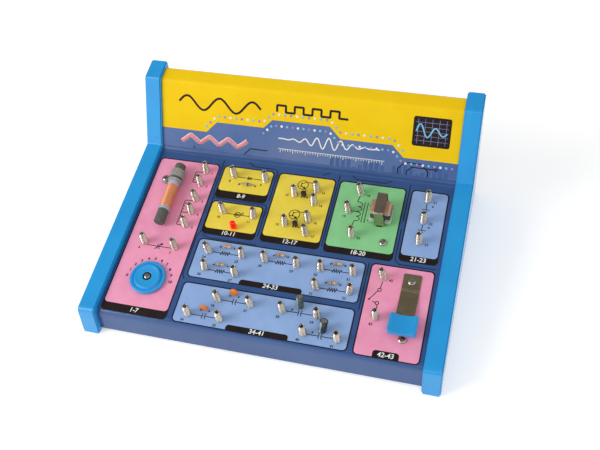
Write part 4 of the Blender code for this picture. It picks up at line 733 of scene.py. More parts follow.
# %% Symbols of the large parts
large_lines = [
    [(-89.5, 150.0), (-94.0, 150.0), *coil((-94.0, 150.0), (-94.0, 138.4), 4, 1), (-90.2, 138.4)],
    [(-89.2, 118.6), (-94.0, 118.6), *coil((-94.0, 118.6), (-94.0, 105.8), 4, 1), (-89.4, 105.8)],
    [(-94.0, 105.8), *coil((-94.0, 105.8), (-94.0, 92.6), 4, 1), (-90.0, 92.6)],
    [(-114.2, 68.4), (-104.6, 68.4)], [(-104.6, 70.8), (-104.6, 66.0)],
    bow((-99.2, 68.4), 4.0, 139, 221), [(-103.1, 68.4), (-92.2, 68.4)],
    [(-106.6, 65.4), (-100.8, 71.6)], [(-102.6, 71.2), (-100.8, 71.6), (-101.1, 69.8)],
    [(56.6, 146.8), (55.6, 141.0), *coil((56.6, 141.0), (56.6, 131.6), 2, -1, 1.7)],
    [(52.8, 131.0), (56.6, 131.2), *coil((56.6, 131.0), (56.6, 121.8), 2, -1, 1.7), (55.8, 118.0),
    (56.6, 110.0)],
    [(62.4, 141.4), (62.4, 121.0)], [(65.0, 141.4), (65.0, 121.0)],
    [(114.2, 148.4), (114.1, 142.2)], [(110.8, 142.2), (117.2, 142.2)], [(112.4, 140.4), (115.6, 140.4)],
    [(114.0, 140.4), (113.9, 133.4)], [(113.8, 126.8), (113.8, 121.4)], [(110.6, 121.4), (117.0, 121.4)],
    [(112.2, 119.6), (115.4, 119.6)], [(113.7, 119.6), (113.6, 112.8)],
    [(118.4, 146.0), (120.2, 146.0)], [(119.3, 145.1), (119.3, 146.9)],
    [(118.4, 124.8), (120.2, 124.8)], [(119.3, 123.9), (119.3, 125.7)],
    [(91.2, 68.2), (90.4, 61.8)], bow((90.1, 60.4), 1.4, 0, 360, 18), [(89.1, 59.4), (83.8, 51.4)],
    bow((83.4, 50.8), 0.5, 0, 360, 12), bow((90.3, 48.4), 1.4, 0, 360, 18), [(88.9, 48.6), (86.4, 49.4)],
    [(90.6, 47.0), (91.3, 38.8)], bow((67.4, 138.8), 0.35, 0, 360, 10), bow((68.0, 123.8), 0.35, 0, 360, 10),
]
strokes("large_symbols", large_lines, 0.68, BLACK_INK, LEVELS["line"])
print(len(large_lines), "strokes for the large parts")

# %% [markdown]
# Between the fields the navy deck carries fine black tracks with slanted corners, as on a
# circuit board. They only decorate, so they follow the gaps between the fields.

# %% Tracks on the navy deck
tracks = [
    [(-73.0, 166), (-73.0, 132), (-71.4, 128), (-71.4, 90), (-74.0, 84), (-74.0, 46), (-71.6, 42)],
    [(-72.0, 125.4), (-60, 124.8), (-23, 124.8), (-21.4, 122.6), (-21.4, 92)], [(-52, 169),
    (-44, 163.6), (-24, 163.6)],
    [(-23, 163.6), (-21, 161), (-21, 130)], [(-70, 86.4), (-62, 84.0), (-20, 84.0)], [(34.8, 166),
    (34.8, 92)],
    [(20, 164), (26, 168)], [(44, 169), (50, 164), (76, 164), (84, 170)], [(97.2, 166), (97.2, 128)],
    [(97.2, 120), (97.2, 90), (101, 86.2), (131, 86.2)], [(77.2, 84), (77.2, 40)],
]
strokes("deck_tracks", tracks, 0.75, BLACK_INK, 0.03)
print(len(tracks), "tracks")

# %% [markdown]
# Every spring has its number beside it, and the tuning scale runs from 0 to 10 round the
# upper half of the knob. The figures are written one by one and joined, so that all numbers
# are one print.

# %% Numbers
BESIDE = {number: (6.4, -1.6) for number in (1, 2, 3, 4, 5, 13, 14, 16, 17, 18, 20, 21, 22, 23, 42)}
BESIDE.update({12: (-6.6, -1.2), 15: (-6.6, -1.2)})
figures = []
for number, (x, y) in TERMINALS.items():
    dx, dy = BESIDE.get(number, (-2.8, -5.9))
    figures.append(written(str(number), (x + dx, y + dy), 3.3, BLACK_INK, LEVELS["line"], weight=0.07))
settle(joined(figures), "spring_numbers")
scale = []
for number in range(11):
    angle = math.radians(180 - 18 * number)
    place = (DIAL_AT[0] + 19.4 * math.cos(angle), DIAL_AT[1] + 19.4 * math.sin(angle))
    scale.append(written(str(number), place, 3.5, MAROON_INK, LEVELS["line"], weight=0.16))
settle(joined(scale), "tuning_scale")
print(len(figures), "spring numbers and", len(scale), "scale figures")

# %% [markdown]
# ## The header print
#
# The upright face is golden above and navy below, and the gold runs over the rounded crest
# onto the ledge. A flat sheet would stop at the bend, so the sheet is spun round the crest
# and then pushed on along the ledge: the same moves as bending the real film. Its lower edge
# steps down in straight runs and 45 degree slopes, a motif of its own.

# %% Golden film over the crest
HALF = 134.8
CREST_RADIUS = 5.0
crest_cut = CREST_RADIUS * math.tan(LEDGE_TURN / 2)
steps_line = [
    (-HALF, 21.0), (-92, 21.0), (-82, 31.0), (-38, 31.0), (-30, 39.0), (22, 39.0), (32, 29.0), (78, 29.0),
    (88, 19.0), (HALF, 19.0),
]
flat_top = HEADER_LONG - crest_cut
deselect()
bpy.ops.mesh.primitive_plane_add(size=1, location=mm(0, flat_top / 2, INK))
film = bpy.context.object
film.scale = mm(2 * HALF, flat_top, 1 / MM)
bpy.ops.object.transform_apply(location=True, rotation=True, scale=True)
bpy.ops.object.mode_set(mode="EDIT")
pick(lambda middle, edge: middle.y < 1 * MM, "edges")
bpy.ops.mesh.subdivide(number_cuts=len(steps_line) - 2)
bm = bmesh.from_edit_mesh(film.data)
foot = sorted((vert for vert in bm.verts if vert.co.y < 1 * MM), key=lambda vert: vert.co.x)
for vert, (x, y) in zip(foot, steps_line):
    vert.co.x, vert.co.y = x * MM, y * MM
bmesh.update_edit_mesh(film.data)
pick(lambda middle, edge: middle.y > (flat_top - 1) * MM and abs(middle.x) < 1 * MM, "edges")
bpy.ops.mesh.spin(
    steps=10, angle=LEDGE_TURN, center=mm(0, flat_top, -CREST_RADIUS), axis=(1, 0, 0),
)
along = Vector((0.0, math.cos(-LEDGE_TURN), math.sin(-LEDGE_TURN)))
bpy.ops.mesh.extrude_region_move(
    TRANSFORM_OT_translate={"value": along * (LEDGE_LONG - crest_cut - 2.6) * MM},
)
bpy.ops.mesh.select_all(action="SELECT")
bpy.ops.mesh.normals_make_consistent(inside=False)
deselect()
apply(film, "SOLIDIFY", thickness=0.04 * MM, offset=1.0)
painted(film, GOLDEN)
shade(film, 30)
settle(film, "header_golden_film", HEADER)
high = max(corner.co.z for corner in film.data.vertices)
print("the film tops out at", round(high / MM, 2), "mm")

# %% [markdown]
# Below the gold the header is printed in a muted blue, with a row of deeper bars like those
# of a level meter. Each bar is an ink sheet of its own height.

# %% Blue film and level bars
blue_film = sheet((-HALF, 3.4), (HALF, 45), -0.02, 0.2, MUTED_BLUE)
settle(blue_film, "header_blue_film", HEADER)
bars = []
for number in range(21):
    left = 24 + 5.0 * number
    high = 10.0 + 3.2 * math.sin(number * 1.1) + 2.4 * math.sin(number * 2.3 + 1)
    bars.append(sheet((left, 3.6), (left + 3.4, high), 0.0, 0.3, BAR_BLUE))
settle(joined(bars), "header_level_bars", HEADER)
print(len(bars), "bars")

# %% [markdown]
# Plain signals decorate the header: sine, square wave and pulse, a scope screen and a
# ruler. They are generic drawings of what the circuits make. Beads of three inks follow the
# stepped edge on both sides.

# %% Header signals
sine = [(-118 + n * 1.4, 47.0 + 6.0 * math.sin(n * math.tau / 22)) for n in range(56)]
square = [(-26 + 8.0 * (n // 2), 47.0 + (6.0 if (n + 1) // 2 % 2 else 0.0)) for n in range(17)]
strokes("header_waves", [sine, square], 2.0, BLACK_INK, 0.12, HEADER)
pulse = [
    (-24 + n * 1.2, 23.0 + 5.5 * math.exp(-((n - 38) / 19) ** 2) * math.sin(n * math.tau / 9))
    for n in range(77)
]
ruler = [[(-24, 13.6), (72, 13.6)]]
ruler += [[(-22 + 2.3 * n, 13.2), (-22 + 2.3 * n, 10.2 if n % 5 == 0 else 11.6)] for n in range(41)]
strokes("header_pulse", [pulse], 1.2, WHITE_INK, 0.07, HEADER)
strokes("header_ruler", ruler, 0.55, WHITE_INK, 0.1, HEADER)
ramp = [(-116 + 9.0 * n, 9.6 + (7.0 if n % 2 else 0.0)) for n in range(8)]
strokes("header_ramp_rim", [ramp], 4.4, WHITE_INK, 0.06, HEADER)
strokes("header_ramp", [ramp], 2.8, ROSE_INK, 0.2, HEADER)
traces = [
    [(84, 4), (84, 9), (90, 15), (104, 15), (110, 9), (110, 4)], [(92, 4), (92, 7.4), (96, 11.4),
    (116, 11.4)],
    [(-56, 4), (-50, 10), (-34, 10)], [(-104, 4), (-104, 6)], bow((117, 11.4), 1.0, 0, 360, 16),
]
strokes("header_traces", traces, 0.9, BLACK_INK, 0.11, HEADER)
print("waves:", len(sine), len(square), len(pulse), "points")

# %% Header beads
def beads_along(path, gap):
    """Places at equal steps along a polyline."""
    places, spare = [], 0.0
    for before, after in zip(path, path[1:]):
        before, after = Vector(before), Vector(after)
        long = (after - before).length
        while spare < long:
            places.append(before.lerp(after, spare / long))
            spare += gap
        spare -= long
    return places


rows = beads_along([(x, y + 5.5) for x, y in steps_line[1:-1]], 5.4)
rows += beads_along([(x, y - 5.0) for x, y in steps_line[3:]], 5.0)
for offset, ink in enumerate((AQUA_INK, VIOLET_INK, WHITE_INK)):
    rings = [bow(tuple(place), 0.55, 0, 360, 12) for place in rows[offset::3]]
    strokes(f"header_beads_{ink.name}", rings, 1.3, ink, 0.14, HEADER)
print(len(rows), "beads")

# %% Scope screen
screen = sheet((94, 31), (126, 57), 0.085, 2.0, BLACK_INK)
settle(screen, "header_scope_screen", HEADER)
grid = [[(x, 33), (x, 55)] for x in (98, 104, 110, 116, 122)]
grid += [[(96, y), (124, y)] for y in (36, 40, 44, 48, 52)]
strokes("header_scope_grid", grid, 0.3, VIOLET_INK, 0.15, HEADER)
trace = [(97 + n * 0.65, 44 + 7.5 * math.sin(n * math.tau / 20) * math.exp(-n / 34)) for n in range(41)]
strokes("header_scope_trace", [trace], 1.3, AQUA_INK, 0.17, HEADER)
print("screen with", len(grid), "grid lines")

# %% [markdown]
# ## Spring terminals
#
# A spring terminal is one wire: a tail through the deck, a flat spiral outwards, and then
# about two dozen touching turns that narrow towards the top. A curve through computed points,
# with a round bevel, is the natural way to make wire. One spring is made, and the other
# forty-two are copies, each with its own mesh.

# %% One spring
def wire_of(name, line, radius, rounds=1):
    """A round wire along points in mm, as a mesh."""
    drawn = bpy.data.curves.new(name, "CURVE")
    drawn.dimensions = "3D"
    drawn.bevel_depth = radius * MM
    drawn.bevel_resolution = rounds
    drawn.use_fill_caps = True
    run = drawn.splines.new("POLY")
    run.points.add(len(line) - 1)
    for point, place in zip(run.points, line):
        point.co = (*mm(*place), 1.0)
    made = bpy.data.objects.new(name, drawn)
    bpy.context.scene.collection.objects.link(made)
    activate(made)
    bpy.ops.object.convert(target="MESH")
    return bpy.context.object


def twin(source):
    """A copy with its own mesh."""
    copy = source.copy()
    copy.data = source.data.copy()
    bpy.context.scene.collection.objects.link(copy)
    return copy


WIRE = 0.29
SPRING_HIGH = 14.3
TURNS = 24
PER_TURN = 16


def spring_points():
    """Centre line of the wire, tail first."""
    line = [(0.0, 0.0, -5.0), (0.0, 0.0, -1.0), (0.1, 0.0, 0.1)]
    low = 0.25 + WIRE
    for step in range(1, PER_TURN):
        angle, reach = math.tau * step / PER_TURN, 2.82 * step / PER_TURN
        line.append((reach * math.cos(angle), reach * math.sin(angle), low))
    for step in range(TURNS * PER_TURN + 1):
        share = step / (TURNS * PER_TURN)
        angle = math.tau * step / PER_TURN
        reach = 2.86 - 0.5 * max(0.0, share - 0.25) / 0.75 - 0.6 * max(0.0, share - 0.74) / 0.26
        height = low + (SPRING_HIGH - low - WIRE) * share
        line.append((reach * math.cos(angle), reach * math.sin(angle), height))
    return line


points = spring_points()
spring = painted(wire_of("spring_wire", points, WIRE), NICKEL)
shade(spring, 80)
print("one spring:", len(points), "points of wire,", len(spring.data.polygons), "faces")

# %% [markdown]
# The copies turn from one to the next, so that their open ends don't all look the same way.
# A spring that wires have pulled at also leans: its top turn is moved sideways with
# proportional editing, which bends the turns below it less and less down to the foot.
# Springs of a soldered set stand for that set's node.

# %% All the springs
SET_OF = {}
for node in frame["nodes"]:
    ends = node.split("_")
    if node.startswith("spring_terminal"):
        SET_OF[int(ends[-1])] = node
    elif len(ends) > 2 and ends[-1].isdigit() and ends[-2].isdigit():
        for number in range(int(ends[-2]), int(ends[-1]) + 1):
            SET_OF[number] = node
LEANS = {
    1: 6, 2: 3, 4: 4, 5: 2, 6: 5, 7: 2, 9: 3, 11: 7, 12: 3, 13: 2, 14: 4, 15: 3, 18: -6, 19: -2, 20: 2, 21: 2,
    22: 2, 24: -3, 25: 7, 26: 8, 27: 3, 28: 2, 29: 5, 30: 4, 33: 7, 34: 5, 35: 3, 39: 4, 40: 3, 41: 2, 42: -5,
}
for number, spot in TERMINALS.items():
    copy = twin(spring)
    activate(copy)
    copy.rotation_euler.z = math.radians(number * 67 % 360)
    bpy.ops.object.transform_apply(location=False, rotation=True, scale=False)
    if number in LEANS:
        bpy.ops.object.mode_set(mode="EDIT")
        pick(lambda middle, vert: middle.z > (SPRING_HIGH - 2.1 * WIRE) * MM, "verts")
        bpy.ops.transform.translate(
            value=mm(SPRING_HIGH * math.tan(math.radians(LEANS[number])), 0, 0), use_proportional_edit=True,
            proportional_edit_falloff="LINEAR", proportional_size=SPRING_HIGH * MM,
        )
        bpy.ops.object.mode_set(mode="OBJECT")
    copy.location = mm(*spot, 0)
    settle(copy, f"spring_{number}", stands_for=[SET_OF[number]])
bpy.data.objects.remove(spring)
print("springs stand for", len(set(SET_OF.values())), "nodes")

# %% [markdown]
# ## Round pieces
#
# Caps, knob, screws, lamp and capacitor cans are all turned shapes. By hand, one point is
# extruded along half of the outline, and the line is spun round the axis. `turned` does just
# that, so each of them is only a list of radius and height.

# %% Turning
def turned(outline, steps, surface=None):
    """Spin a line of (radius, height) in mm round the z axis into a closed shape."""
    deselect()
    bpy.ops.mesh.primitive_plane_add(size=MM, location=(0, 0, 0))
    made = bpy.context.object
    bpy.ops.object.mode_set(mode="EDIT")
    bpy.ops.mesh.select_mode(type="VERT")
    bpy.ops.mesh.select_all(action="SELECT")
    bpy.ops.mesh.merge(type="CENTER")
    bpy.ops.transform.translate(value=mm(outline[0][0], 0, outline[0][1]))
    for before, after in zip(outline, outline[1:]):
        step = mm(after[0] - before[0], 0, after[1] - before[1])
        bpy.ops.mesh.extrude_vertices_move(TRANSFORM_OT_translate={"value": step})
    bpy.ops.mesh.select_all(action="SELECT")
    bpy.ops.mesh.spin(steps=steps, angle=math.tau, center=(0, 0, 0), axis=(0, 0, 1))
    bpy.ops.mesh.select_all(action="SELECT")
    bpy.ops.mesh.remove_doubles(threshold=0.004 * MM)
    bpy.ops.mesh.normals_make_consistent(inside=False)
    deselect()
    return painted(made, surface) if surface else made


def ringed(low, high, radius, edge, steps=4):
    """Outline of a plain can with rounded rims, from the axis below to the axis above."""
    line = [(0.0, low)]
    line += [(radius - edge + x, low + edge + y) for x, y in bow((0, 0), edge, -90, 0, steps)]
    line += [(radius - edge + x, high - edge + y) for x, y in bow((0, 0), edge, 0, 90, steps)]
    return line + [(0.0, high)]


trial = turned(ringed(0, 5, 3, 0.5), 24)
print("a turned can has", len(trial.data.polygons), "faces")
bpy.data.objects.remove(trial)

# %% [markdown]
# ## Tuning knob
#
# The knob is a low wheel with a rim, a fine step, a sloping crown and a dished middle with a
# well for its screw. Small arcs at each edge matter more than anything else here, because
# they draw the bright rings.

# %% Knob
knob_line = [
    (3.3, 0.7), (14.9, 0.7), (15.4, 0.9), (15.6, 1.4), (15.6, 2.7), (15.45, 3.15), (15.1, 3.38), (14.6, 3.42),
    (13.4, 3.4), (13.1, 3.3), (12.9, 2.95), (12.6, 2.7), (12.3, 2.75), (12.1, 3.1), (11.3, 4.9), (11.0, 5.15),
    (10.6, 5.2), (10.2, 5.1), (8.6, 4.72), (7.0, 4.56), (5.0, 4.5), (4.2, 4.48), (3.95, 4.35), (3.9, 4.1),
    (3.9, 3.6), (1.3, 3.6), (1.3, 2.9), (3.3, 2.9), (3.3, 0.7),
]
knob = turned(knob_line, 96, SKY)
# The faces inside the screw well get painted shade, a near black surface
knob.data.materials.append(WELL_SHADE)
for face in knob.data.polygons:
    out = math.hypot(face.center.x, face.center.y)
    if out < 3.95 * MM and 2 * MM < face.center.z < 4.4 * MM:
        face.material_index = 1
knob.scale = (0.98, 0.98, 1.0)
knob.location = mm(*DIAL_AT, 0)
shade(knob, 40)
settle(knob, "tuning_knob", body="dial", stands_for=["tuning_dial"])
print("knob:", len(knob.data.polygons), "faces")

# %% [markdown]
# ## Screws
#
# All visible screws have a rounded head with a cross recess. The head is turned and the
# cross is cut with two crossed bars. One is made, and copies are scaled to the knob's
# smaller screw.

# %% Cross-head screw
head = [(0.0, -7.5), (1.35, -7.5), (1.4, 0.0), (3.1, 0.0), (3.2, 0.12), (3.2, 0.7)]
head += [(3.2 * math.cos(a), 0.7 + 1.4 * math.sin(a)) for a in (math.radians(12 * n) for n in range(1, 8))]
master_screw = turned([*head, (0.0, 2.1)], 40, ZINC)
for turn in (0, 1):
    deselect()
    bpy.ops.mesh.primitive_cube_add(size=MM, location=mm(0, 0, 1.75))
    bar = bpy.context.object
    bar.scale = (3.6, 0.75, 1.7)
    bar.rotation_euler.z = turn * math.pi / 2
    bpy.ops.object.transform_apply(location=True, rotation=True, scale=True)
    apply(master_screw, "BOOLEAN", object=bar, operation="DIFFERENCE", solver="EXACT")
    bpy.data.objects.remove(bar)
shade(master_screw, 30)
for name, spot, level, share, turn, body in (
    ("rod_clip_screw", EAR_AT, 2.4, 1.0, 20, "console"),
    ("panel_screw", POST_AT, 0.3, 1.0, 38, "console"),
    ("key_screw", KEY_SCREW_AT, 1.1, 1.0, 12, "console"),
    ("key_contact_screw", KEY_CONTACT_AT, 0.3, 1.0, 50, "console"),
    ("dial_screw", DIAL_AT, 3.9, 0.82, 30, "dial"),
):
    copy = twin(master_screw)
    copy.location = mm(*spot, level)
    copy.rotation_euler.z = math.radians(turn)
    copy.scale = (share, share, share) if share == 1.0 else (share, share, 0.8)
    settle(copy, f"{name}_cross_head", body=body, stands_for=[name])
    print(copy.name)
bpy.data.objects.remove(master_screw)

# %% [markdown]
# ## Antenna
#
# The ferrite rod lies over the deck in a ribbed clip. Rubbery caps close both ends, a nylon
# former carries the winding, and the clip has an ear for its screw. Everything is turned
# about the rod's axis, drawn upright and then laid down along the deck.

# %% Rod caps and former
ROD = Matrix.Translation(mm(-108.3, 87.6, 7.2)) @ Matrix.Rotation(-math.pi / 2, 4, "X")
front_cap = turned([(0.0, 1.2), (3.5, 1.2), (3.5, 12.6), (4.5, 12.6), (4.7, 12.4), *[
    (3.9 + 0.8 * math.cos(a), 0.8 + 0.8 * math.sin(a)) for a in (math.radians(-15 * n) for n in range(7))
], (0.0, 0.0)], 48, RUBBER)
shade(front_cap)
settle(front_cap, "front_rubber_cap", DECK @ ROD, stands_for=["rod_cap_front"])
back_cap = turned([(0.0, 61.0), (3.5, 61.0), (3.5, 55.6), (4.5, 55.6), (4.7, 55.8), *[
    (3.9 + 0.8 * math.cos(a), 61.4 + 0.8 * math.sin(a)) for a in (math.radians(15 * n) for n in range(7))
], (0.0, 62.2)], 48, RUBBER)
shade(back_cap)
settle(back_cap, "back_rubber_cap", DECK @ ROD, stands_for=["rod_cap_back"])
former = turned([
    (3.5, 12.9), (4.9, 12.9), (5.2, 13.2), (5.2, 14.4), (4.9, 15.6), (4.0, 15.6), (4.0, 39.0), (4.8, 39.0),
    (5.0, 39.3), (5.2, 42.8), (4.9, 43.3), (3.5, 43.3), (3.5, 12.9),
], 48, NYLON)
shade(former)
settle(former, "nylon_former_tube", DECK @ ROD, stands_for=["coil_former"])
print("caps and former are on the rod")

# %% [markdown]
# The winding is one fine wire, 68 turns side by side. Fine turns give the soft lengthwise
# sheen that coarse rings would not. The real count isn't known.

# %% Winding
COIL_TURNS = 68
COIL_WIRE = 0.165
COIL_RADIUS = 4.85
COIL_START, COIL_LONG = 15.7, 23.1
STEPS_PER_TURN = 24
count = COIL_TURNS * STEPS_PER_TURN
line = []
for step in range(count + 1):
    angle = math.tau * step / STEPS_PER_TURN
    height = COIL_START + COIL_LONG * step / count
    line.append((COIL_RADIUS * math.cos(angle), COIL_RADIUS * math.sin(angle), height))
winding = painted(wire_of("winding_wire", line, COIL_WIRE), COPPER)
core_sleeve = turned(ringed(15.5, 39.0, 4.8, 0.2, 2), 48, COPPER)
shade(winding, 80)
winding = joined([winding, core_sleeve])
settle(winding, "antenna_winding", DECK @ ROD, stands_for=["coil_winding"])
print("winding:", COIL_TURNS, "turns,", len(winding.data.polygons), "faces")

# %% [markdown]
# The clip is a sleeve with lengthwise ribs above a dark slot. Every second side face of a
# 36-sided cylinder is pushed inwards, which leaves 18 ribs. The ear is a rounded flat plate.

# %% Ribbed clip
RIB_SIDES = 36


def every_second_side(middle, face):
    """True for half of the upright faces, in turn round the axis."""
    side = math.degrees(math.atan2(middle.y, middle.x)) // (360 / RIB_SIDES)
    return abs(face.normal.z) < 0.5 and side % 2 == 0


deselect()
bpy.ops.mesh.primitive_cylinder_add(vertices=RIB_SIDES, radius=6.3 * MM, depth=7.8 * MM, location=mm(0, 0, 51.4))
ribbed = bpy.context.object
bpy.ops.object.transform_apply(location=True, rotation=True, scale=True)
bpy.ops.object.mode_set(mode="EDIT")
pick(every_second_side)
bpy.ops.mesh.extrude_region_shrink_fatten(TRANSFORM_OT_shrink_fatten={"value": -0.8 * MM})
deselect()
apply(ribbed, "BEVEL", width=0.12 * MM, segments=2, limit_method="ANGLE")
painted(ribbed, CLIP)
slot_band = turned([(3.5, 44.8), (5.2, 44.8), (5.2, 47.7), (3.5, 47.7), (3.5, 44.8)], 40, CLIP_DARK)
collar = turned([
    (3.5, 43.6), (6.0, 43.6), (6.3, 43.8), (6.3, 44.9), (6.1, 45.0), (3.5, 45.0), (3.5, 43.6),
], 40, CLIP)
clip = joined([ribbed, slot_band, collar])
clip.matrix_world = ROD
deselect()
bpy.ops.mesh.primitive_cylinder_add(vertices=32, radius=4.2 * MM, depth=1.8 * MM, location=mm(*EAR_AT, 1.2))
ear = bpy.context.object
bpy.ops.mesh.primitive_cube_add(size=MM, location=mm(-114.0, 136.6, 1.2))
arm = bpy.context.object
arm.scale = (11.2, 7.6, 1.8)
bpy.ops.mesh.primitive_cube_add(size=MM, location=mm(-108.3, 138.9, 1.85))
foot_block = bpy.context.object
foot_block.scale = (7.2, 7.6, 3.1)
plate = joined([ear, arm, foot_block])
bpy.ops.object.transform_apply(location=True, rotation=True, scale=True)
apply(plate, "BEVEL", width=0.3 * MM, segments=2, limit_method="ANGLE")
painted(plate, CLIP)
clip = joined([plate, clip])
shade(clip, 35)
settle(clip, "ribbed_rod_clip", stands_for=["rod_clip"])
print("clip:", len(clip.data.polygons), "faces")

# %% [markdown]
# ## Transformer
#
# A bent steel strap holds the lamination stack down. It starts as a box: the open sides are
# deleted, the two upper edges get a generous bevel for the bends, and Solidify gives the
# sheet its thickness. The coil is wrapped in tape, with a nylon cheek below it and a row of
# solder pins on one side.

# %% Strap
deselect()
bpy.ops.mesh.primitive_cube_add(size=MM, location=mm(0, 0, 9.95))
strap = bpy.context.object
strap.scale = (8.2, 22.0, 19.3)
bpy.ops.object.transform_apply(location=True, rotation=True, scale=True)
bpy.ops.object.mode_set(mode="EDIT")
pick(lambda middle, face: abs(face.normal.x) > 0.5 or face.normal.z < -0.5)
bpy.ops.mesh.delete(type="ONLY_FACE")
pick(lambda middle, edge: middle.z > 19 * MM and abs(middle.x) < 1 * MM, "edges")
bpy.ops.mesh.bevel(offset=1.6 * MM, segments=6, affect="EDGES")
deselect()
apply(strap, "SOLIDIFY", thickness=0.7 * MM, offset=-1.0)
tabs = []
for side in (-1, 1):
    bpy.ops.mesh.primitive_cube_add(size=MM, location=mm(0, side * 10.65, -2.4))
    tab = bpy.context.object
    tab.scale = (4.0, 0.7, 6.0)
    tabs.append(tab)
strap = joined([strap, *tabs])
bpy.ops.object.transform_apply(location=True, rotation=True, scale=True)
apply(strap, "BEVEL", width=0.12 * MM, segments=2, limit_method="ANGLE", angle_limit=math.radians(50))
painted(strap, STRAP_STEEL)
strap.location = mm(*CORE_AT, 0)
shade(strap, 35)
settle(strap, "transformer_steel_strap", stands_for=["transformer_strap"])
print("strap:", len(strap.data.polygons), "faces")

# %% Coil, cheeks and pins
def rounded_box(middle, size, edge, surface, segments=3):
    """A box with rounded edges, sizes in mm."""
    deselect()
    bpy.ops.mesh.primitive_cube_add(size=MM, location=mm(*middle))
    made = bpy.context.object
    made.scale = size
    bpy.ops.object.transform_apply(location=True, rotation=True, scale=True)
    apply(made, "BEVEL", width=edge * MM, segments=segments, limit_method="ANGLE")
    return painted(made, surface)


coil_parts = [
    rounded_box((0, 0, 11.7), (17.0, 12.4, 7.0), 2.6, TAPE, 6),
    rounded_box((0.3, 0, 11.4), (16.9, 12.9, 3.6), 1.6, TAPE, 4),
    # The lower part of the coil block is dark teal
    rounded_box((0, 0, 6.2), (17.0, 12.2, 4.2), 0.6, LOWER_COIL_TEAL),
    rounded_box((-0.6, 0, 15.0), (15.4, 11.6, 0.7), 0.3, TAPE_EDGE),
    rounded_box((-6.7, 0, 2.7), (5.6, 17.0, 3.2), 0.4, CHEEK),
    rounded_box((6.7, 0, 2.7), (5.6, 17.0, 3.2), 0.4, CHEEK),
]
for number in range(4):
    along = (number - 1.5) * 3.1
    post = turned(ringed(-0.4, 2.4, 0.42, 0.12, 2), 12, TINNED)
    post.matrix_world = Matrix.Translation(mm(8.4, along, 10.2)) @ Matrix.Rotation(math.pi / 2, 4, "Y")
    bead = turned([(0.0, -0.7), (0.6, -0.45), (0.85, 0.0), (0.6, 0.5), (0.0, 0.75)], 12, TINNED)
    bead.location = mm(9.4, along, 10.3)
    coil_parts += [post, bead]
coil_body = joined(coil_parts)
bpy.ops.object.transform_apply(location=True, rotation=True, scale=True)
coil_body.location = mm(*CORE_AT, 0)
shade(coil_body, 35)
settle(coil_body, "taped_coil_on_bobbin", stands_for=["transformer_bobbin"])
print("coil:", len(coil_body.data.polygons), "faces")

# %% [markdown]
# ## Key
#
# The key is one strip of spring steel. A screw holds its tab flat on the deck, and past the
# bend the arm rises to the finger cap. In CAD it is split at the bend so that the arm can
# turn. Here the strip is whole again, as one piece. The path has two fine embossed ridges
# and the bend itself.

# %% Spring leaf
RISE = math.radians(8.9)
path = [(78.4, 0.55), (73.0, 0.55), (68.0, 0.55), (65.6, 0.55), (65.2, 0.72), (64.8, 0.55), (64.2, 0.55)]
path += [(63.8, 0.72), (63.4, 0.55), (62.4, 0.55), (61.4, 0.58), (60.7, 0.66), (60.0, 0.8)]
path += [
    (KEY_BEND - reach * math.cos(RISE), 0.55 + reach * math.sin(RISE))
    for reach in (1.6, 3, 6, 12, 20, 30, 39.7)
]
deselect()
bpy.ops.mesh.primitive_plane_add(size=1, location=mm(KEY_X, path[0][0] + 0.5, path[0][1]))
leaf = bpy.context.object
leaf.scale = mm(14.6, 1.0, 1 / MM)
bpy.ops.object.transform_apply(location=True, rotation=True, scale=True)
bpy.ops.object.mode_set(mode="EDIT")
pick(lambda middle, edge: middle.y < (path[0][0] + 0.25) * MM and abs(middle.x / MM - KEY_X) < 1, "edges")
for before, after in zip(path, path[1:]):
    step = mm(0, after[0] - before[0], after[1] - before[1])
    bpy.ops.mesh.extrude_region_move(TRANSFORM_OT_translate={"value": step})
pick(lambda middle, vert: middle.y > (path[0][0] + 0.9) * MM, "verts")
bpy.ops.transform.translate(value=mm(0, -1.0, 0))
bpy.ops.mesh.select_all(action="SELECT")
bpy.ops.mesh.remove_doubles(threshold=0.01 * MM)
pick(lambda middle, vert: middle.y > 78.3 * MM, "verts")
bpy.ops.mesh.bevel(offset=1.6 * MM, segments=5, affect="VERTICES")
bpy.ops.mesh.select_all(action="SELECT")
bpy.ops.mesh.normals_make_consistent(inside=False)
deselect()
apply(leaf, "SOLIDIFY", thickness=0.5 * MM, offset=0.0)
painted(leaf, LEAF)
shade(leaf, 30)
settle(leaf, "key_spring_leaf", stands_for=["key_leaf_tab", "key_leaf_arm"])
leaf.parent = None
del leaf["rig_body"]
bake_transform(leaf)

# %% [markdown]
# The finger cap is moulded in the rails' blue. A large cylinder scoops its top out from side
# to side, which leaves the two raised rims of the real one, and a rounded bevel finishes all
# edges.

# %% Finger cap
deselect()
bpy.ops.mesh.primitive_cube_add(size=MM, location=mm(0, -31.7, 2.15))
cap = bpy.context.object
cap.scale = (22.4, 17.4, 4.9)
bpy.ops.object.transform_apply(location=True, rotation=True, scale=True)
bpy.ops.object.mode_set(mode="EDIT")
pick(lambda middle, edge: abs(edge.verts[0].co.z - edge.verts[1].co.z) > 4 * MM, "edges")
bpy.ops.mesh.bevel(offset=1.8 * MM, segments=5, affect="EDGES")
deselect()
bpy.ops.mesh.primitive_cylinder_add(
    vertices=160, radius=24 * MM, depth=60 * MM, location=mm(0, -31.7, 26.7), rotation=(math.pi / 2, 0, 0),
)
scoop = bpy.context.object
apply(cap, "BOOLEAN", object=scoop, operation="DIFFERENCE", solver="EXACT")
bpy.data.objects.remove(scoop)
bpy.ops.mesh.primitive_cube_add(size=MM, location=mm(0, -30.4, -0.3))
slot_tool = bpy.context.object
slot_tool.scale = (15.2, 19.4, 1.7)
bpy.ops.object.transform_apply(location=True, rotation=True, scale=True)
apply(cap, "BOOLEAN", object=slot_tool, operation="DIFFERENCE", solver="EXACT")
bpy.data.objects.remove(slot_tool)
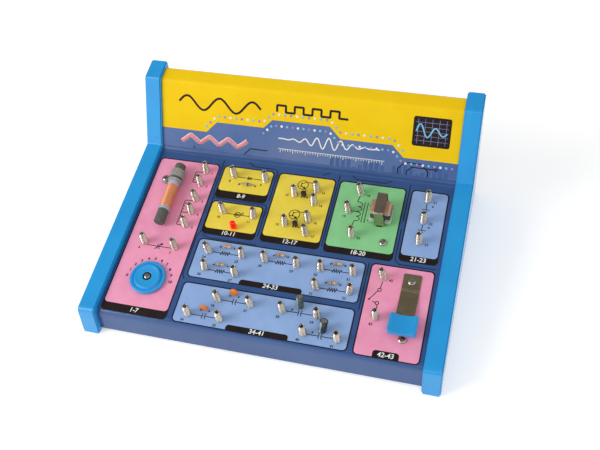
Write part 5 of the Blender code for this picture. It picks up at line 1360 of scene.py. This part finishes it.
apply(cap, "BEVEL", width=0.45 * MM, segments=3, limit_method="ANGLE", angle_limit=math.radians(30))
painted(cap, SKY)
shade(cap, 40)
apply(cap, "WEIGHTED_NORMAL", keep_sharp=True)
HINGE = Matrix.Translation(mm(KEY_X, KEY_BEND, 0.55)) @ Matrix.Rotation(-RISE, 4, "X")
settle(cap, "finger_cap", DECK @ HINGE, "key", ["key_cap"])
print("cap:", len(cap.data.polygons), "faces")

# %% [markdown]
# ## Small components
#
# Bare wires run from each component down into the deck. Bent wire never has a sharp corner,
# so here too `soft_path` rounds the corners of a route before the curve gets its thickness.

# %% Lead wires
def lead_wire(corners, radius=0.3, bend=0.8):
    """A tinned wire along a route in mm."""
    return painted(wire_of("lead", soft_path(corners, bend), radius, 2), TINNED)


print("a bent lead has", len(soft_path([(0, 0, 0), (0, 0, 3), (3, 0, 3)], 1)), "points")

# %% [markdown]
# Resistors are lacquered rods with swollen ends. The outline is turned along z with extra
# rings where the colour bands start and stop, the bands get their own surface, and the body
# is laid down between its two leads.

# %% Resistors
BODY_LINE = [
    (0.0, -3.3), (0.7, -3.3), (1.05, -3.15), (1.22, -2.8), (1.25, -2.55), (1.25, -2.05),
    (1.2, -1.8), (1.05, -1.5),
    (1.02, -1.2), (1.02, -0.6), (1.02, -0.2), (1.02, 0.4), (1.02, 0.8), (1.05, 1.5), (1.2, 1.8), (1.25, 2.05),
    (1.25, 2.55), (1.22, 2.8), (1.05, 3.15), (0.7, 3.3), (0.0, 3.3),
]
BAND_RANGES = [(-2.55, -2.05), (-1.2, -0.6), (-0.2, 0.4), (2.05, 2.55)]
for name, (first, second, centre, bands) in RESISTORS.items():
    body = turned(BODY_LINE, 24, LACQUER)
    for band in bands:
        body.data.materials.append(BANDS[band])
    for face in body.data.polygons:
        for index, (low, high) in enumerate(BAND_RANGES, start=1):
            if low * MM < face.center.z < high * MM:
                face.material_index = index
    body.matrix_world = Matrix.Translation(mm(*centre, 1.9)) @ Matrix.Rotation(math.pi / 2, 4, "Y")
    (x0, y0), (x1, y1) = feet_of(centre, 12.2)
    wire = lead_wire([
        (*TERMINALS[first], -4.2), (x0, y0, -4.2), (x0, y0, 1.9), (x1, y1, 1.9), (x1, y1, -4.2),
        (*TERMINALS[second], -4.2),
    ])
    whole = joined([body, wire])
    shade(whole, 40)
    settle(whole, f"{name}_body", stands_for=[name])
print("resistors:", list(RESISTORS))

# %% [markdown]
# The diode is a clear glass bead that shows its two metal studs and a dark band. The red lamp
# has a flange, a straight wall and a dome, and inside it two small posts.

# %% Diode and lamp
glass = turned([
    (0.0, -3.6), (0.5, -3.6), (0.95, -3.35), (1.2, -2.8), (1.3, -2.0), (1.3, 2.0), (1.2, 2.8), (0.95, 3.35),
    (0.5, 3.6), (0.0, 3.6),
], 24, BEAD)
studs = [
    turned(ringed(low, high, 0.75, 0.1, 2), 16, TINNED) for low, high in ((-3.2, -0.5), (0.6, 3.2))
]
band = turned([(1.31, 0.7), (1.34, 0.7), (1.34, 2.0), (1.31, 2.0), (1.31, 0.7)], 24, BANDS["black"])
diode = joined([glass, *studs, band])
diode.matrix_world = Matrix.Translation(mm(*DIODE[2], 2.0)) @ Matrix.Rotation(math.pi / 2, 4, "Y")
(x0, y0), (x1, y1) = feet_of(DIODE[2], 15.0)
ends = [
    lead_wire([(*TERMINALS[8], -4.2), (x0, y0, -4.2), (x0, y0, 2.0), (-47.6, y0, 2.0)]),
    lead_wire([(*TERMINALS[9], -4.2), (x1, y1, -4.2), (x1, y1, 2.0), (-42.2, y1, 2.0)]),
]
diode = joined([diode, *ends])
shade(diode, 40)
settle(diode, "glass_diode", stands_for=["diode_8_9"])
dome = [(2.5 * math.cos(a), 6.0 + 2.5 * math.sin(a)) for a in (math.radians(9 * n) for n in range(1, 10))]
lens = turned([
    (0.0, 0.6), (2.75, 0.6), (2.9, 0.75), (2.9, 1.45), (2.8, 1.6), (2.5, 1.65), (2.5, 3.2), (2.5, 6.0), *dome,
    (0.0, 8.5),
], 40, LAMP)
# The flange faces below 3.2 mm get the brighter orange red of painted glow
lens.data.materials.append(LAMP_FOOT_GLOW)
for face in lens.data.polygons:
    if face.center.z < 3.2 * MM:
        face.material_index = 1
LAMP_RAISE = 1.4
lens.location = mm(*LED[2], LAMP_RAISE)
posts = [
    rounded_box((LED[2][0] - 1.2, LED[2][1], 3.0 + LAMP_RAISE), (0.9, 0.5, 2.6), 0.1, ZINC, 1),
    rounded_box((LED[2][0] + 0.9, LED[2][1], 3.2 + LAMP_RAISE), (1.5, 0.5, 3.0), 0.1, ZINC, 1),
]
(x0, y0), (x1, y1) = feet_of(LED[2], 2.54)
legs = [
    lead_wire([(*TERMINALS[10], -4.2), (x0, y0, -4.2), (x0, y0, 2.0)]),
    lead_wire([(*TERMINALS[11], -4.2), (x1, y1, -4.2), (x1, y1, 2.0)]),
]
lamp = joined([lens, *posts, *legs])
shade(lamp, 40)
settle(lamp, "red_lamp", stands_for=["led_10_11"])
print("diode", len(diode.data.polygons), "faces, lamp", len(lamp.data.polygons), "faces")

# %% [markdown]
# A small-signal transistor is a round epoxy case with one flat side. A bisect cuts the flat
# off a cylinder and fills it, and the edges are bevelled. Its three legs spread into the
# deck.

# %% Transistors
for name, (left, back, front, centre) in TRANSISTORS.items():
    deselect()
    bpy.ops.mesh.primitive_cylinder_add(vertices=40, radius=2.3 * MM, depth=4.8 * MM, location=mm(0, 0, 4.8))
    case = bpy.context.object
    bpy.ops.object.transform_apply(location=True, rotation=True, scale=True)
    bpy.ops.object.mode_set(mode="EDIT")
    bpy.ops.mesh.select_all(action="SELECT")
    bpy.ops.mesh.bisect(plane_co=mm(0, -1.3, 0), plane_no=(0, -1, 0), clear_outer=True, use_fill=True)
    deselect()
    apply(case, "BEVEL", width=0.25 * MM, segments=3, limit_method="ANGLE")
    painted(case, EPOXY)
    case.location = mm(*centre, 0)
    x, y = centre
    legs = [lead_wire([(*TERMINALS[front], -4.2), (x, y, -4.2), (x, y, 4.0)], 0.25)]
    for side, terminal in ((-1, left), (1, back)):
        out, close = x + side * 2.5, x + side * 1.3
        legs.append(lead_wire([
            (*TERMINALS[terminal], -4.2), (out, y, -4.2), (out, y, 1.2), (close, y, 2.0), (close, y, 4.0),
        ], 0.25))
    whole = joined([case, *legs])
    shade(whole, 35)
    settle(whole, f"{name}_case", stands_for=[name])
print("transistors:", list(TRANSISTORS))

# %% [markdown]
# Disc capacitors are ceramic discs dipped in orange lacquer, which runs down the leads in
# two short skirts. They lean back on their wires.

# %% Disc capacitors
for name, (first, second, centre, lean) in DISCS.items():
    swing = Matrix.Translation(mm(*centre, 0)) @ Matrix.Rotation(-math.radians(lean), 4, "X")
    disc = turned([
        (0.0, -1.1), (1.6, -1.08), (2.6, -0.95), (3.3, -0.65), (3.62, -0.3), (3.7, 0.0),
        (3.62, 0.3), (3.3, 0.65),
        (2.6, 0.95), (1.6, 1.08), (0.0, 1.1),
    ], 40, DIPPED)
    disc.matrix_world = swing @ Matrix.Translation(mm(0, 0, 4.6)) @ Matrix.Rotation(math.pi / 2, 4, "X")
    parts = [disc]
    for side, terminal in ((-1, first), (1, second)):
        skirt = turned([(0.0, 0.0), (0.32, 0.0), (0.5, 0.5), (0.7, 1.2), (0.75, 2.0), (0.0, 2.2)], 12, DIPPED)
        lean = Matrix.Rotation(-side * 0.15, 4, "Y")
        skirt.matrix_world = swing @ Matrix.Translation(mm(side * 2.2, 0, 1.3)) @ lean
        inner = (swing @ mm(side * 2.2, 0, 2.4)) / MM
        foot_at = (centre[0] + side * 3.7, centre[1])
        route = [(*TERMINALS[terminal], -4.2), (*foot_at, -4.2), (*foot_at, 0.7), inner]
        parts += [skirt, lead_wire(route, 0.28)]
    whole = joined(parts)
    shade(whole, 50)
    settle(whole, f"{name}_disc", stands_for=[name])
print("discs:", list(DISCS))

# %% [markdown]
# Can capacitors are aluminium cups in a shrunk sleeve. The sleeve shows the rolled groove
# near the foot and folds over the rim at the top, where the bare cup shows. A lighter stripe
# marks one lead.

# %% Can capacitors
for name, (first, second, centre, radius, back, right, sleeve) in CANS.items():
    outline = [(0.0, 1.6), (radius - 0.5, 1.6), (radius - 0.15, 1.75), (radius, 2.1), (radius, 3.2)]
    outline += [(radius - inwards, height) for inwards, height in (
        (0.28, 3.6), (0.35, 3.85), (0.28, 4.1), (0.0, 4.5), (0.0, 12.0), (0.12, 12.4), (0.45, 12.6),
        (0.75, 12.55), (0.8, 12.4),
    )]
    outline.append((0.0, 12.4))
    can = turned(outline, 40, sleeve)
    can.data.materials.append(CAN_TOP)
    can.data.materials.append(STRIPE)
    for face in can.data.polygons:
        out = math.hypot(face.center.x, face.center.y)
        angle = math.degrees(math.atan2(face.center.y, face.center.x))
        if face.center.z > 12.3 * MM and out < (radius - 0.8) * MM:
            face.material_index = 1
        elif -150 < angle < -112 and 2 * MM < face.center.z < 12.2 * MM:
            face.material_index = 2
    swing = Matrix.Translation(mm(*centre, 0)) @ Matrix.Rotation(math.radians(right), 4, "Y")
    swing = swing @ Matrix.Rotation(-math.radians(back), 4, "X")
    can.matrix_world = swing
    parts = [can]
    for side, terminal in ((-1, first), (1, second)):
        foot_at = (centre[0] + side * 1.3, centre[1])
        inner = (swing @ mm(side * 1.3, 0, 2.4)) / MM
        route = [(*TERMINALS[terminal], -4.2), (*foot_at, -4.2), (*foot_at, 0.2), inner]
        parts.append(lead_wire(route, 0.28))
    whole = joined(parts)
    shade(whole, 40)
    settle(whole, f"{name}_can", stands_for=[name])
bpy.data.objects.remove(cutter)
print("cans:", list(CANS))

# %% [markdown]
# ## The photo table
#
# The table is matt and catches the shadow.

# %% Table
def shown_rays(tree):
    """1 for rays that show the background: those of the camera, of gloss and of glass."""
    rays = add_node(tree, "ShaderNodeLightPath", {})
    direct = add_node(
        tree, "ShaderNodeMath", {0: rays.outputs["Is Camera Ray"], 1: rays.outputs["Is Transmission Ray"]},
        operation="MAXIMUM",
    )
    return add_node(
        tree, "ShaderNodeMath", {0: direct.outputs[0], 1: rays.outputs["Is Glossy Ray"]}, operation="MAXIMUM",
    ).outputs[0]


deselect()
bpy.ops.mesh.primitive_circle_add(vertices=96, radius=3.0, fill_type="NGON", location=(0, 0, -0.0002))
table = bpy.context.object
table.name = "photo_table"
white = bpy.data.materials.new("matt_white_table")
white.use_nodes = True
tree = white.node_tree
tree.nodes.clear()
place = add_node(tree, "ShaderNodeTexCoord", {}).outputs["Object"]
mottle = add_node(tree, "ShaderNodeTexNoise", {"Vector": place, "Scale": 6.0, "Detail": 3.0})
tone = add_node(
    tree, "ShaderNodeMix", {0: mottle.outputs["Fac"], 6: linear("F2F2F2"), 7: linear("F8F8F8")},
    data_type="RGBA",
)
matt = add_node(tree, "ShaderNodeBsdfDiffuse", {"Color": tone.outputs[2]})
glow = add_node(tree, "ShaderNodeEmission", {"Color": (1, 1, 1, 1), "Strength": 0.34})
nothing = add_node(tree, "ShaderNodeEmission", {"Color": (0, 0, 0, 1), "Strength": 0.0})
seen = add_node(
    tree, "ShaderNodeMixShader", {0: shown_rays(tree), 1: nothing.outputs[0], 2: glow.outputs[0]},
)
both = add_node(tree, "ShaderNodeAddShader", {0: matt.outputs[0], 1: seen.outputs[0]})
add_node(tree, "ShaderNodeOutputMaterial", {"Surface": both.outputs[0]})
table.data.materials.append(white)
print("table radius 3 m")

# %% [markdown]
# ## Light
#
# The photograph has one broad soft light from the front left and white walls around. The world
# is white for the camera and dimmer as a light source, so colours render about as they are
# written. In reflections it is a studio: a bright panel on either side, a long strip lamp
# overhead, and a dim ceiling and back wall. The panels light the metal from both sides, and
# the strip adds a faint line of light on bends that look up.

# %% World and lamps
world = bpy.data.worlds.new("white_room")
bpy.context.scene.world = world
world.use_nodes = True
tree = world.node_tree
tree.nodes.clear()
heading = add_node(tree, "ShaderNodeTexCoord", {}).outputs["Generated"]


def ramp_of(value, low, high, start, end):
    """Smooth change from one level to another while a value rises."""
    return add_node(tree, "ShaderNodeMapRange", {
        "Value": value, "From Min": low, "From Max": high, "To Min": start, "To Max": end,
    }, interpolation_type="SMOOTHSTEP").outputs["Result"]


def towards(side):
    """How far a direction points to one side, from -1 to 1."""
    return add_node(
        tree, "ShaderNodeVectorMath", {0: heading, 1: Vector(side)}, operation="DOT_PRODUCT",
    ).outputs["Value"]


def combined(kind, *values):
    """Chain of one arithmetic step over all values."""
    total = values[0]
    for value in values[1:]:
        total = add_node(tree, "ShaderNodeMath", {0: total, 1: value}, operation=kind).outputs[0]
    return total


def either_way(side):
    """How far a direction points to one side or the opposite one, from 0 to 1."""
    return add_node(tree, "ShaderNodeMath", {0: towards(side)}, operation="ABSOLUTE").outputs[0]


front, height = towards((0.334, -0.942, 0.0)), towards((0.0, 0.0, 1.0))
sideways, depth = either_way((0.942, 0.334, 0.0)), either_way((0.0, 1.0, 0.0))
panels = combined(
    "MULTIPLY", ramp_of(sideways, 0.3, 0.5, 0.0, 1.15),
    ramp_of(front, -0.4, -0.1, 0.12, 1.0), ramp_of(height, 0.5, 0.8, 1.0, 0.1),
)
strip = combined("MULTIPLY", ramp_of(depth, 0.04, 0.1, 1.0, 0.0), ramp_of(height, 0.6, 0.8, 0.0, 1.0))
room = combined("ADD", ramp_of(front, -0.3, 0.3, 0.2, 0.03), panels, strip)
rays = add_node(tree, "ShaderNodeLightPath", {})
mirrored = add_node(
    tree, "ShaderNodeMix", {0: rays.outputs["Is Glossy Ray"], 2: 1.0, 3: room}, data_type="FLOAT",
).outputs[0]
level = add_node(
    tree, "ShaderNodeMix", {0: shown_rays(tree), 2: 0.58, 3: mirrored}, data_type="FLOAT",
).outputs[0]
sky = add_node(tree, "ShaderNodeBackground", {"Color": (1, 1, 1, 1), "Strength": level})
add_node(tree, "ShaderNodeOutputWorld", {"Surface": sky.outputs[0]})


def soft_box(name, place, aim, size, power):
    """A square softbox that looks at a point."""
    lamp_data = bpy.data.lights.new(name, "AREA")
    lamp_data.shape = "RECTANGLE"
    lamp_data.size, lamp_data.size_y = size
    lamp_data.energy = power
    made = bpy.data.objects.new(name, lamp_data)
    bpy.context.scene.collection.objects.link(made)
    made.location = place
    made.rotation_euler = (Vector(aim) - Vector(place)).to_track_quat("-Z", "Y").to_euler()
    return made


soft_box("key_box", (-1.15, -0.75, 0.95), (0, 0, 0.04), (0.8, 0.8), 12.5)
soft_box("fill_box", (0.5, -1.1, 1.1), (0, 0, 0.0), (1.0, 1.0), 4.0)
print("two soft boxes and a white room")

# %% [markdown]
# ## Camera
#
# The camera stands where the photograph was taken from: in front, to the right and high up,
# looking down at 47 degrees, with a slight roll. Its three axes come from matching the
# corners of rails and fields, and the lens is 49 mm on a 36 mm sensor.

# %% Camera
right = Vector((0.96413, 0.25431, -0.07588))
up = Vector((-0.13891, 0.72721, 0.67220))
back = Vector((0.22613, -0.63756, 0.73646))
camera_data = bpy.data.cameras.new("photo_camera")
camera_data.lens = 48.94
camera_data.sensor_width = 36.0
camera_data.clip_start = 0.01
camera = bpy.data.objects.new("photo_camera", camera_data)
bpy.context.scene.collection.objects.link(camera)
camera.matrix_world = Matrix.Translation((0.16902, -0.43867, 0.55264)) @ Matrix(
    (right, up, back)
).transposed().to_4x4()
bpy.context.scene.camera = camera
bpy.context.scene.view_settings.view_transform = "Standard"
print("camera at", tuple(round(value, 3) for value in camera.location))
